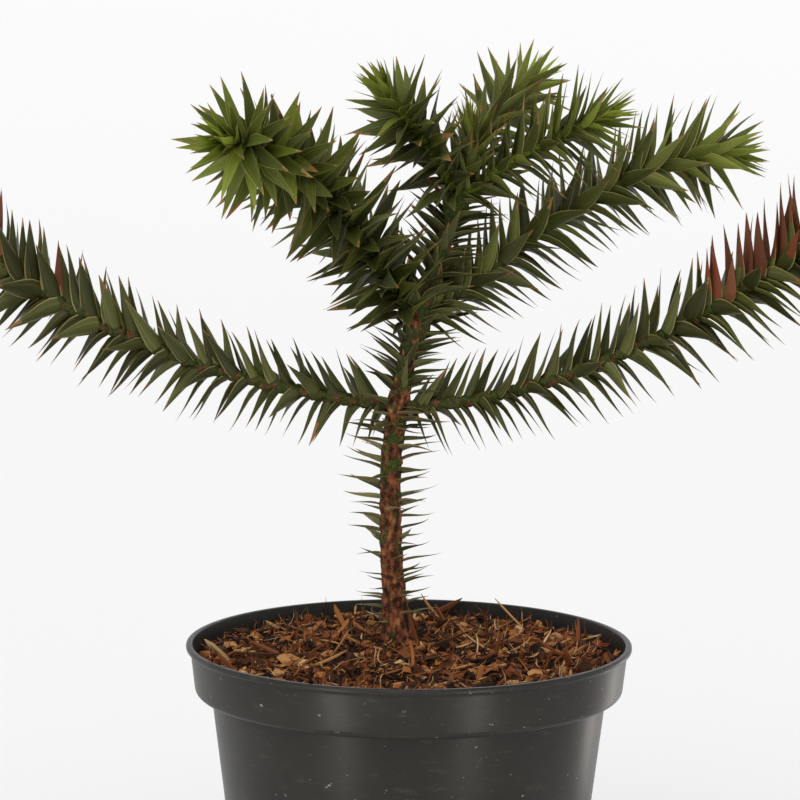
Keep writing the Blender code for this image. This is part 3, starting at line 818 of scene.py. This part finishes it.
STEM_BROWNS = [(0.32, (0.050, 0.016, 0.008)), (0.70, (0.230, 0.085, 0.042))]
BARK_BROWNS = [
    (0.34, (0.012, 0.006, 0.003)),
    (0.46, (0.070, 0.023, 0.010)),
    (0.56, (0.218, 0.068, 0.026)),
    (0.72, (0.420, 0.198, 0.082)),
]
BARK_GREENS = [
    (0.34, (0.014, 0.022, 0.004)),
    (0.54, (0.048, 0.062, 0.011)),
    (0.70, (0.118, 0.150, 0.022)),
]


def stem_material(name, dark, light, browning):
    """Green stem: two greens in its grain, and brown patches where the noise is over a level."""
    nodes = Nodes(name)
    place = nodes.place()
    patches = nodes.noise(place, 260.0, 3.0)
    fine = nodes.noise(place, 1500.0, 3.0)
    green = nodes.ramp(fine, [(0.32, dark), (0.70, light)])
    brown = nodes.ramp(fine, STEM_BROWNS)
    return nodes.finished(
        specular=0.15,
        colour=nodes.mix(nodes.spread(patches, browning, browning + 0.10), green, brown),
        roughness=nodes.spread(fine, 0.3, 0.7, 0.42, 0.62),
        normal=nodes.bump(fine, 0.0004, 0.9),
    )


def bark_material():
    """Flaky red brown bark that turns green in patches, more of them higher up."""
    nodes = Nodes("bark")
    place = nodes.place((1.0, 1.0, 0.55))
    flakes = nodes.noise(place, 420.0, 5.0, 0.62)
    fine = nodes.noise(place, 1700.0, 4.0, 0.6)
    patches = nodes.noise(nodes.place(), 170.0, 3.0)
    bark = nodes.ramp(flakes, BARK_BROWNS)
    green = nodes.ramp(fine, BARK_GREENS)
    height = nodes.add("ShaderNodeSeparateXYZ", {0: nodes.place()}, 2)
    upward = nodes.spread(height, 0.16, 0.33, -0.10, 0.16)
    green_at = nodes.add("ShaderNodeMath", {0: patches, 1: upward}, operation="ADD")
    return nodes.finished(
        specular=0.2,
        colour=nodes.mix(nodes.spread(green_at, 0.50, 0.58), bark, green),
        roughness=nodes.spread(fine, 0.3, 0.7, 0.68, 0.92),
        normal=nodes.bump(fine, 0.0003, 0.7, nodes.bump(flakes, 0.0006, 0.7)),
    )


LIMB_GRID = (0.0006, 22)  # distance between rings, and sides
TRUNK_GRID = (0.0008, 56)
LIMB_SUNK = 0.0003  # how much slimmer a limb is than its solid, between the cushions
TIP_BEYOND = 0.001  # how far its surface goes past the stem's end
BOUGH_FLARE = 0.0008
FIRST_LEAF = 0.0030  # from the trunk's centre line


def roughen(point, scale, seed):
    return noise.noise(point * scale + Vector((seed, 0.0, 0.0)))


def tube_piece(name, stem, start, end, grid, radius_at, material, node):
    """A closed tube round a stem, with its radius from the distance and the turn."""
    step, sides = grid
    stations = spaced(start, end, max(2, round((end - start) / step)))
    vertices = []
    for distance in stations:
        point, ahead, side, up = stem.at(distance)
        point = point + ahead * (min(0.0, distance) + max(0.0, distance - stem.length))
        for k in range(sides):
            turn = math.tau * k / sides
            radius = radius_at(distance, turn)
            vertices.append(point + radius * (math.cos(turn) * side + math.sin(turn) * up))
    add_piece(name, vertices, grid_faces(len(stations), sides), [material], None, node)


def limb_piece(name, stem, start, end, leaves, node, material, cushion, root_flare=0.0):
    """A limb's surface: tapered, with a cushion below every leaf, and drawn to its tip."""
    swelling = cushion_field(leaves, cushion, CUSHION_REACH)

    def radius_at(distance, turn):
        base = stem.radius_at(min(max(distance, 0.0), stem.length)) - LIMB_SUNK
        closing = smoothstep((stem.length + TIP_BEYOND - distance) / 0.004)
        base = base * (0.35 + 0.65 * closing)
        point = Vector((math.cos(turn), math.sin(turn), distance * 400))
        grain = 0.00012 * roughen(point, 1.6, 3.0) + root_flare * math.exp(-distance / 0.004)
        return base + grain + swelling(distance, turn, base)

    tube_piece(name, stem, start, end, LIMB_GRID, radius_at, material, node)


def trunk_piece(stem, leaves, material):
    """The trunk's bark: lumps and cracks, fibres at the foot, and a swelling at each whorl."""
    swelling = cushion_field(leaves, TRUNK_CUSHION, TRUNK_CUSHION_REACH)
    whorls = sorted({shoot.height for shoot in SHOOTS.values()})

    def radius_at(distance, turn):
        base = stem.radius_at(min(max(distance, 0.0), stem.length))
        base += SLEEVE * smoothstep((distance + 0.004) / 0.010)
        base *= 1 - 0.25 * smoothstep((distance - stem.length + 0.012) / 0.012)
        point = Vector((math.cos(turn) * base, math.sin(turn) * base, distance * 0.7))
        lump = 0.00042 * roughen(point, 260.0, 7.0) + 0.00030 * roughen(point, 700.0, 1.0)
        crack = 0.00055 * abs(roughen(point, 420.0, 19.0)) ** 0.7
        foot = math.exp(-max(distance, 0.0) / 0.007)
        fibres = 0.0009 * foot * math.sin(turn * 9 + 2.2 * math.sin(turn * 2 + distance * 300))
        knots = sum(0.0010 * math.exp(-(((distance - at) / 0.0045) ** 2)) for at in whorls)
        return base + lump - crack + fibres + knots + swelling(distance, turn, base)

    tube_piece(
        "trunk_bark", stem, -0.003, stem.length + TIP_BEYOND, TRUNK_GRID, radius_at, material,
        "trunk",
    )


def make_plant():
    """The trunk, the seven shoots and the leader, each with its bark, stem and leaves."""
    bark = bark_material()
    stems = {storey: stem_material(*shared.stem) for storey, shared in STOREYS.items()}
    foot = (*TRUNK_FOOT, SOIL_TOP + GAP)
    trunk = Stem(foot, trunk_direction, TRUNK_LENGTH, trunk_radius)
    on_trunk = []
    for name, collar in COLLARS.items():
        leaves = collar_leaves(trunk, collar)
        on_trunk += leaves
        add_leaves(f"trunk_{name}", leaves, node=f"trunk_{COLLAR_NODES[name]}")
    trunk_piece(trunk, on_trunk, bark)
    for name, shoot in SHOOTS.items():
        storey = name.split("_")[0]
        green, shared = stems[storey], STOREYS[storey]
        root = trunk.at(shoot.height)[0]
        radius = linear_radius(shared.radius, shoot.length)
        stem = Stem(root, lambda part: shoot_direction(shoot, part), shoot.length, radius)
        leaves = shoot_leaves(stem, FIRST_LEAF, shoot)
        add_leaves(name, leaves, shoot.browning)
        limb_piece(
            f"bough_{name}_bark", stem, 0.0, shared.bough, leaves, f"bough_{name}",
            green, shared.cushion, BOUGH_FLARE,
        )
        limb_piece(
            f"stem_{name}", stem, shared.bough, shoot.length + TIP_BEYOND, leaves,
            f"foliage_{name}", green, shared.cushion,
        )
    top = trunk.at(TRUNK_LENGTH)[0] + trunk_direction(1.0) * GAP
    radius = linear_radius(LEADER_RADIUS, LEADER.length)
    # The leader goes on in the trunk's own direction, back to upright
    leader = Stem(top, lambda part: trunk_direction(1 - part), LEADER.length, radius)
    leaves = shoot_leaves(leader, 0.0, LEADER)
    add_leaves("leader", leaves)
    limb_piece(
        "stem_leader", leader, -0.002, LEADER.length + TIP_BEYOND, leaves, "foliage_leader",
        stems["crown"], STOREYS["crown"].cushion,
    )


# ---- pot


def wall_radius(height):
    """Outside radius of the pot's wall, below the band."""
    return POT_FOOT_RADIUS + (POT_WALL_RADIUS - POT_FOOT_RADIUS) * height / POT_STEP


def arc(centre, radius, start, end, steps):
    """Points (radius, height) on a rounded corner, from one angle to another."""
    angles = [math.radians(angle) for angle in spaced(start, end, steps)]
    return [(centre[0] + radius * math.cos(a), centre[1] + radius * math.sin(a)) for a in angles]


def between(first, last, count):
    """Points strictly between two others."""
    return list(zip(*(spaced(a, b, count + 1)[1:-1] for a, b in zip(first, last))))


def pot_profile():
    """The pot's cut: outside from the middle of the foot to the lip, then the inside."""
    lip, inner = POT_HEIGHT - POT_LIP_HEIGHT, POT_LIP_RADIUS - POT_LIP_WIDTH
    band_low, band_high = POT_BAND_RADIUS
    foot, corner, edge, inside = 0.0016, 0.0030, 0.0009, 0.0007  # radii of the roundings
    wall_end = (wall_radius(POT_STEP - 0.0016), POT_STEP - 0.0016)
    band_end = (band_high - 0.0001, lip - 0.0016)
    out = [(0.012, 0.0010), (0.0582, 0.0010), (0.059, 0.0010), (0.0605, 0.0004), (0.062, 0.0)]
    out += arc((POT_FOOT_RADIUS - foot, foot), foot, -90, -7, 6)
    out += [(wall_radius(out[-1][1] + 0.001), out[-1][1] + 0.001)]
    out += between(out[-1], wall_end, 5)
    out += [wall_end, (POT_WALL_RADIUS, POT_STEP - 0.0004)]
    out += [(POT_WALL_RADIUS + 0.0004, POT_STEP + 0.0001), (band_low - corner - 0.0008, POT_STEP)]
    out += arc((band_low - corner, POT_STEP + corner), corner, -90, -5, 7)
    out += between(out[-1], band_end, 3)
    out += [band_end, (band_high, lip - 0.0006), (band_high + 0.0004, lip)]
    out += arc((POT_LIP_RADIUS - edge, lip + edge * 0.9), edge, -60, 0, 4)
    out += arc((POT_LIP_RADIUS - edge, POT_HEIGHT - edge), edge, 0, 90, 5)
    out += arc((inner + inside, POT_HEIGHT - inside), inside, 90, 180, 4)
    out += [
        (POT_MOUTH - 0.0002, lip - 0.001),
        (band_low - POT_WALL, POT_STEP + POT_WALL + 0.003),
        (POT_WALL_RADIUS - POT_WALL, POT_STEP + POT_WALL),
        (wall_radius(0.004) - POT_WALL, 0.004),
        (POT_FOOT_RADIUS - 0.004, POT_FLOOR),
        (0.012, POT_FLOOR),
    ]
    return out


def pot_material():
    """Charcoal plastic with dusty scuffs and pale specks."""
    nodes = Nodes("charcoal_plastic")
    place = nodes.place()
    cloud = nodes.noise(place, 22.0, 4.0)
    grain = nodes.noise(place, 900.0, 3.0)
    ringed = nodes.noise(nodes.place((1.0, 1.0, 14.0)), 26.0, 4.0)
    specks = nodes.noise(nodes.place((1.0, 1.0, 1.8)), 260.0, 3.0, 0.55)
    scuffs = nodes.noise(nodes.place((1.0, 1.0, 3.2)), 105.0, 5.0, 0.72)
    base = nodes.ramp(cloud, [(0.30, (0.0168, 0.0164, 0.0146)), (0.75, (0.0232, 0.0221, 0.0190))])
    dusty = nodes.mix(nodes.spread(scuffs, 0.56, 0.74, 0.0, 0.40), base, (0.070, 0.062, 0.050))
    return nodes.finished(
        specular=0.165,
        colour=nodes.mix(nodes.spread(specks, 0.698, 0.744, 0.0, 0.8), dusty, (0.26, 0.25, 0.22)),
        roughness=nodes.spread(cloud, 0.3, 0.7, 0.30, 0.39),
        normal=nodes.bump(grain, 0.00006, 0.4, nodes.bump(ringed, 0.0001, 0.15)),
    )


POT_SIDES = 160
DRAIN_HOLES = 8
DRAIN_RADIUS = 0.0045
DRAIN_CIRCLE = 0.0520
SHARP_FROM = 50  # degrees between the pot's faces


def lathe_points(profile, sides):
    """Rings of (radius, height) points about the pot's axis."""
    vertices = []
    for radius, height in profile:
        for k in range(sides):
            turn = math.tau * k / sides
            vertices.append((radius * math.cos(turn), radius * math.sin(turn), height))
    return vertices


def cut_drain_holes(pot):
    """A ring of round holes through the pot's floor."""
    shape = bmesh.new()
    for k in range(DRAIN_HOLES):
        turn = Matrix.Rotation(math.tau * (k + 0.5) / DRAIN_HOLES, 4, "Z")
        bmesh.ops.create_cone(
            shape, cap_ends=True, segments=32, radius1=DRAIN_RADIUS, radius2=DRAIN_RADIUS,
            depth=0.008, matrix=turn @ Matrix.Translation((DRAIN_CIRCLE, 0.0, 0.0015)),
        )
    mesh = bpy.data.meshes.new("drains")
    shape.to_mesh(mesh)
    shape.free()
    drains = new_object("drains", mesh)
    boolean = pot.modifiers.new("drains", "BOOLEAN")
    boolean.object = drains
    boolean.solver = "EXACT"
    depsgraph = bpy.context.evaluated_depsgraph_get()
    baked = bpy.data.meshes.new_from_object(pot.evaluated_get(depsgraph))
    pot.modifiers.clear()
    pot.data = baked
    bpy.data.objects.remove(drains, do_unlink=True)


def make_pot():
    profile = pot_profile()
    vertices = lathe_points(profile, POT_SIDES)
    faces = grid_faces(len(profile), POT_SIDES)
    pot = add_piece("pot_shell", vertices, faces, [pot_material()], None, "pot")
    cut_drain_holes(pot)
    pot.data.set_sharp_from_angle(angle=math.radians(SHARP_FROM))
    return pot


# ---- potting mix

SOIL_COLOURS = {  # base colour, and how much of it there is among the chips
    "peat": ((0.012, 0.005, 0.002), 0.20),
    "brown": ((0.058, 0.020, 0.007), 0.28),
    "red": ((0.170, 0.051, 0.016), 0.30),
    "rust": ((0.310, 0.115, 0.033), 0.15),
    "tan": ((0.450, 0.228, 0.082), 0.07),
    "straw": ((0.610, 0.390, 0.188), 0.02),
}
PEAT = [
    (0.34, (0.006, 0.003, 0.002)),
    (0.52, (0.030, 0.012, 0.007)),
    (0.66, (0.095, 0.034, 0.016)),
    (0.80, (0.230, 0.110, 0.048)),
]
CRUMB_WEIGHTS = (0.48, 0.30, 0.14, 0.06, 0.02, 0.0)


def soil_material(kind):
    nodes = Nodes(f"mix_{kind}")
    grain = nodes.noise(nodes.place(), 1300.0, 4.0, 0.65)
    return nodes.finished(
        colour=SOIL_COLOURS[kind][0],
        specular=0.15,
        roughness=nodes.spread(grain, 0.3, 0.7, 0.70, 0.95),
        normal=nodes.bump(grain, 0.0004, 0.8),
    )


def peat_material():
    nodes = Nodes("peat_bed")
    clods = nodes.noise(nodes.place(), 330.0, 6.0, 0.65)
    return nodes.finished(
        specular=0.15,
        colour=nodes.ramp(clods, PEAT),
        roughness=nodes.spread(clods, 0.3, 0.7, 0.75, 0.95),
        normal=nodes.bump(clods, 0.0012, 0.9),
    )


def from_trunk(x, y):
    return math.hypot(x - TRUNK_FOOT[0], y - TRUNK_FOOT[1])


def soil_level(x, y):
    """Height of the mix at a place, with its lumps."""
    across = min(1.0, from_trunk(x, y) / (POT_MOUTH - 0.0003))
    edge = POT_HEIGHT - SOIL_EDGE_DROP
    mound = (SOIL_TOP - edge) * (0.5 + 0.5 * math.cos(math.pi * across))
    place = Vector((x, y, 0.0))
    lumps = 0.0018 * noise.noise(place * 60) + 0.0012 * noise.noise(place * 150)
    return edge + mound + lumps * min(1.0, 4 * across)


def make_bed():
    """The mix's own surface, on a skirt that goes down inside the pot's wall."""
    rim = POT_MOUTH - 0.0004
    sides, rings = 150, 70
    skirt = [
        (wall_radius(0.004) - POT_WALL - 0.0010, 0.0026),
        (wall_radius(POT_STEP) - POT_WALL - 0.0010, POT_STEP),
        (POT_BAND_RADIUS[0] - POT_WALL - 0.0006, POT_STEP + 0.005),
    ]
    vertices = lathe_points(skirt, sides)
    for ring in range(rings, 0, -1):
        for x, y, _ in lathe_points([(rim * ring / rings, 0.0)], sides):
            lump = 0.0007 * noise.noise(Vector((x, y, 0.0)) * 520)
            vertices.append((x, y, soil_level(x, y) + lump))
    faces = grid_faces(len(skirt) + rings, sides)
    add_piece("mix_bed", vertices, faces, [peat_material()], None, "soil")


def pick_colour(weights):
    return rng.choices(range(len(weights)), weights)[0]


def lying(tilt):
    """A random turn about Z with a tilt away from level, as a matrix."""
    turn = Matrix.Rotation(rng.uniform(0, math.tau), 3, "Z")
    lean = Matrix.Rotation(math.radians(rng.gauss(0, tilt)), 3, "X")
    return turn @ lean @ Matrix.Rotation(math.radians(rng.gauss(0, tilt)), 3, "Y")


def scatter(count, points_at, weights, reach=0.0885, clear=0.0070):
    """Points and colours of a count of small pieces on the mix, off the trunk and the pot."""
    vertices, colours = [], []
    while len(colours) < count:
        radius, turn = reach * math.sqrt(rng.random()), rng.uniform(0, math.tau)
        x, y = radius * math.cos(turn), radius * math.sin(turn)
        if from_trunk(x, y) > clear:
            points = points_at(x, y)
            if all(math.hypot(point.x, point.y) < POT_MOUTH - 0.0006 for point in points):
                vertices += points
                colours.append(pick_colour(weights))
    return vertices, np.array(colours)


def add_mix(name, vertices, ring, kinds, materials):
    """Small pieces as one, each with a ring's faces, and every face with its own kind."""
    size = ring.max() + 1
    faces = repeated(ring, len(vertices) // size, size)
    add_piece(name, vertices, faces, materials, kinds, "soil", smooth=False)


CHIPS = 1500
CHIP_SIDES = 6
CHIP_TILT = 33  # degrees
CHIP_RINGS = ((-0.5, 0.10), (-0.5, 0.92), (0.0, 1.0), (0.5, 0.86), (0.5, 0.10))
CHIPS_BROKEN = 0.35  # share of the chips with paler broken edges
FACES_DARKER = 0.30  # share of all their faces that are one colour darker
CRUMBS = 6500
CRUMB_TILT = 60
CRUMB_RINGS = ((-0.8, 0.25), (0.0, 1.0), (0.7, 0.35))
CRUMB_CORNERS = ((1, 0), (0, 1), (-1, 0), (0, -1))


def chip_points(x, y):
    """Rings of a flat, split piece of bark: two broken outlines, drawn in at the ends."""
    long = rng.triangular(0.0026, 0.0140, 0.0050)
    wide = long * rng.uniform(0.28, 0.75)
    thick = long * rng.uniform(0.14, 0.40)
    points = []
    outline = [rng.uniform(0.72, 1.12) for _ in range(CHIP_SIDES)]
    for level, size in CHIP_RINGS:
        for k in range(CHIP_SIDES):
            turn = math.tau * (k + 0.3) / CHIP_SIDES
            radius = outline[k] * size * rng.uniform(0.93, 1.07)
            bow = 0.20 * long * (math.cos(turn) * outline[k] * size) ** 2
            aside = 0.5 * wide * math.sin(turn) * radius
            points.append(
                Vector((0.5 * long * math.cos(turn) * radius, aside, level * thick - bow * 0.5))
            )
    turned = lying(CHIP_TILT)
    centre = Vector((x, y, soil_level(x, y) + rng.uniform(-0.0010, 0.0016)))
    return [centre + turned @ point for point in points]


def make_chips(materials):
    """Chips of bark: a colour for each, paler where it is broken, and some faces darker."""
    weights = [weight for _, weight in SOIL_COLOURS.values()]
    vertices, colours = scatter(CHIPS, chip_points, weights)
    ring = grid_faces(len(CHIP_RINGS), CHIP_SIDES)
    face = np.arange(len(ring))
    broken = (face // CHIP_SIDES % len(CHIP_RINGS) == 1) | (face % 5 == 0)
    paler = deal.random(CHIPS) < CHIPS_BROKEN
    kinds = np.repeat(colours, len(ring)) + (paler[:, None] & broken[None]).ravel()
    kinds = np.maximum(kinds - (deal.random(len(kinds)) < FACES_DARKER), 0)
    add_mix("mix_chips", vertices, ring, np.minimum(kinds, len(materials) - 1), materials)


class Strand(NamedTuple):
    """One sort of long thin pieces that lie on the mix or stand up out of it."""

    count: int
    length: tuple  # shortest, longest and most usual
    thickness: tuple
    curl: float
    stand: float  # how steeply the steepest of them stands, in radians
    weights: tuple  # how much there is of every soil colour
    rows: int


STRANDS = {
    "mix_splinters": Strand(
        count=110, length=(0.007, 0.030, 0.014), thickness=(0.0012, 0.0040), curl=0.7,
        stand=1.0, weights=(0.02, 0.12, 0.24, 0.24, 0.25, 0.13), rows=6,
    ),
    "mix_shreds": Strand(
        count=1500, length=(0.0035, 0.0140, 0.0060), thickness=(0.0006, 0.0020), curl=1.1,
        stand=0.45, weights=(0.16, 0.30, 0.26, 0.15, 0.09, 0.04), rows=5,
    ),
    "mix_fibres": Strand(
        count=1300, length=(0.003, 0.014, 0.006), thickness=(0.0002, 0.0008), curl=3.4,
        stand=0.9, weights=(0.05, 0.25, 0.25, 0.20, 0.15, 0.10), rows=9,
    ),
}
STRAND_SIDES = 4


def strand_points(strand, x, y):
    """Rings of one strand, drawn in at both ends, that bends and twists as it goes."""
    long = rng.triangular(*strand.length)
    wide = rng.uniform(*strand.thickness)
    flat = rng.uniform(0.25, 0.7)
    upright = strand.stand * rng.random() ** 3
    turned = Matrix.Rotation(rng.uniform(0, math.tau), 3, "Z")
    bend, twist = rng.gauss(0, strand.curl), rng.gauss(0, strand.curl)
    heading = rng.uniform(-0.5, 0.5)
    rise = upright + rng.gauss(0, 0.12)
    point = Vector((0.0, 0.0, 0.0))
    points = []
    for row in range(strand.rows):
        part = row / (strand.rows - 1)
        level = math.cos(rise)
        ahead = Vector((math.cos(heading) * level, math.sin(heading) * level, math.sin(rise)))
        side = Vector((-math.sin(heading), math.cos(heading), 0.0))
        up = ahead.cross(side)
        swell = 0.25 + 0.75 * min(1.0, 4 * part, 4 * (1 - part))
        swell *= rng.uniform(0.8, 1.1)
        for k in range(STRAND_SIDES):
            turn = math.tau * (k + 0.5) / STRAND_SIDES
            across = 0.5 * wide * swell * math.cos(turn)
            over = 0.5 * wide * flat * swell * math.sin(turn)
            points.append(point + side * across - up * over)
        point = point + ahead * long / (strand.rows - 1)
        heading += bend / strand.rows
        rise += twist / strand.rows * (0.5 if point.z > -0.0005 else -0.2)
    drop = 0.35 * long * max(0.0, math.sin(upright)) * 0.4
    lift = soil_level(x, y) + rng.uniform(0.0002, 0.0022) - drop
    centre = Vector((x, y, lift))
    return [centre + turned @ point for point in points]


def make_strands(name, strand, materials):
    vertices, colours = scatter(
        strand.count, lambda x, y: strand_points(strand, x, y), strand.weights
    )
    ring = grid_faces(strand.rows, STRAND_SIDES)
    add_mix(name, vertices, ring, np.repeat(colours, len(ring)), materials)


def crumb_points(x, y):
    """Rings of a grain of peat between the chips: a small broken lump."""
    size = rng.triangular(0.0003, 0.0016, 0.0006)
    centre = Vector((x, y, soil_level(x, y) + rng.uniform(-0.0003, 0.0010)))
    turned = lying(CRUMB_TILT)
    points = []
    for level, wide in CRUMB_RINGS:
        for forth, aside in CRUMB_CORNERS:
            spot = Vector((forth * wide, aside * wide, level)) * size * rng.uniform(0.7, 1.2)
            points.append(centre + turned @ spot)
    return points


def make_crumbs(materials):
    vertices, colours = scatter(CRUMBS, crumb_points, CRUMB_WEIGHTS, 0.0900, 0.0062)
    ring = grid_faces(len(CRUMB_RINGS), len(CRUMB_CORNERS))
    add_mix("mix_crumbs", vertices, ring, np.repeat(colours, len(ring)), materials)


def make_mix():
    make_bed()
    materials = [soil_material(kind) for kind in SOIL_COLOURS]
    make_chips(materials)
    for name, strand in STRANDS.items():
        make_strands(name, strand, materials)
    make_crumbs(materials)


# ---- stage and camera


FLOOR_FLAT, FLOOR_REACH, FLOOR_RISE, FLOOR_SIDES = 3.0, 12.0, 3.2, 96
FLOOR_COLOUR = (0.86, 0.86, 0.86)
SURROUND_STRENGTH = 0.80
SUN_POWER = 1.1
SUN_SPREAD = 50  # degrees
SUN_TURN = (38, 0, -24)
STRIPS = {  # heading about the pot, in degrees, and power
    "left_strip": (-33.0, 0.240),
    "right_strip": (30.0, 0.205),
    "edge_strip": (122.0, 0.080),
}
STRIP_COLOUR = (1.0, 0.92, 0.84)
STRIP_SIZE = (0.050, 0.16)
STRIP_HEIGHT = 0.05
STRIP_DISTANCE = 0.30

CAMERA_LENS, CAMERA_SENSOR = 137.9, 36.0
CAMERA_PLACE = (-0.0045, -1.300, 0.41895)
CAMERA_PITCH = 7.275  # degrees down from level
CAMERA_ROLL = 0.34


def make_floor():
    """A plain pale floor that rises far away on all sides, as a wide bowl."""
    radii = [0.0, 0.5, 1.0, 2.0] + spaced(FLOOR_FLAT, FLOOR_REACH, 16)
    profile = []
    for radius in radii[::-1]:
        out = max(0.0, (radius - FLOOR_FLAT) / (FLOOR_REACH - FLOOR_FLAT))
        profile.append((max(radius, 1e-4), FLOOR_RISE * out**2))
    mesh = bpy.data.meshes.new("floor")
    bowl = grid_faces(len(radii), FLOOR_SIDES)[: (len(radii) - 1) * FLOOR_SIDES]
    mesh.from_pydata(lathe_points(profile, FLOOR_SIDES), [], bowl.tolist())
    mesh.polygons.foreach_set("use_smooth", [True] * len(mesh.polygons))
    mesh.materials.append(Nodes("floor_white").finished(FLOOR_COLOUR, 0.9, 0.0))
    new_object("floor", mesh)


def make_lights(pot):
    """A white surround and a soft sun, and strip lamps that light the pot alone."""
    world = bpy.data.worlds.new("surround")
    world.use_nodes = True
    background = world.node_tree.nodes["Background"]
    background.inputs["Color"].default_value = (1.0, 1.0, 1.0, 1.0)
    background.inputs["Strength"].default_value = SURROUND_STRENGTH
    bpy.context.scene.world = world

    sun = bpy.data.lights.new("soft_key", "SUN")
    sun.energy = SUN_POWER
    sun.angle = math.radians(SUN_SPREAD)
    new_object("soft_key", sun).rotation_euler = [math.radians(turn) for turn in SUN_TURN]

    lit = bpy.data.collections.new("lit_by_strips")
    lit.objects.link(pot)
    for name, (heading, power) in STRIPS.items():
        light = bpy.data.lights.new(name, "AREA")
        light.shape = "RECTANGLE"
        light.size, light.size_y = STRIP_SIZE
        light.energy = power
        light.color = STRIP_COLOUR
        strip = new_object(name, light)
        turn = Matrix.Rotation(math.radians(heading), 4, "Z")
        place = turn @ Matrix.Translation((0.0, -STRIP_DISTANCE, STRIP_HEIGHT))
        strip.matrix_world = place @ Matrix.Rotation(math.radians(90), 4, "X")
        strip.visible_camera = False
        strip.light_linking.receiver_collection = lit


def make_camera():
    camera = bpy.data.cameras.new("camera")
    camera.lens = CAMERA_LENS
    camera.sensor_width = CAMERA_SENSOR
    camera.clip_start = 0.05
    camera.clip_end = 100.0
    eye = new_object("camera", camera)
    eye.matrix_world = (
        Matrix.Translation(CAMERA_PLACE)
        @ Matrix.Rotation(math.radians(90 - CAMERA_PITCH), 4, "X")
        @ Matrix.Rotation(math.radians(CAMERA_ROLL), 4, "Z")
    )
    bpy.context.scene.camera = eye


bpy.context.scene.view_settings.view_transform = "Standard"
pot = make_pot()
make_floor()
make_lights(pot)
make_camera()
make_mix()
make_plant()
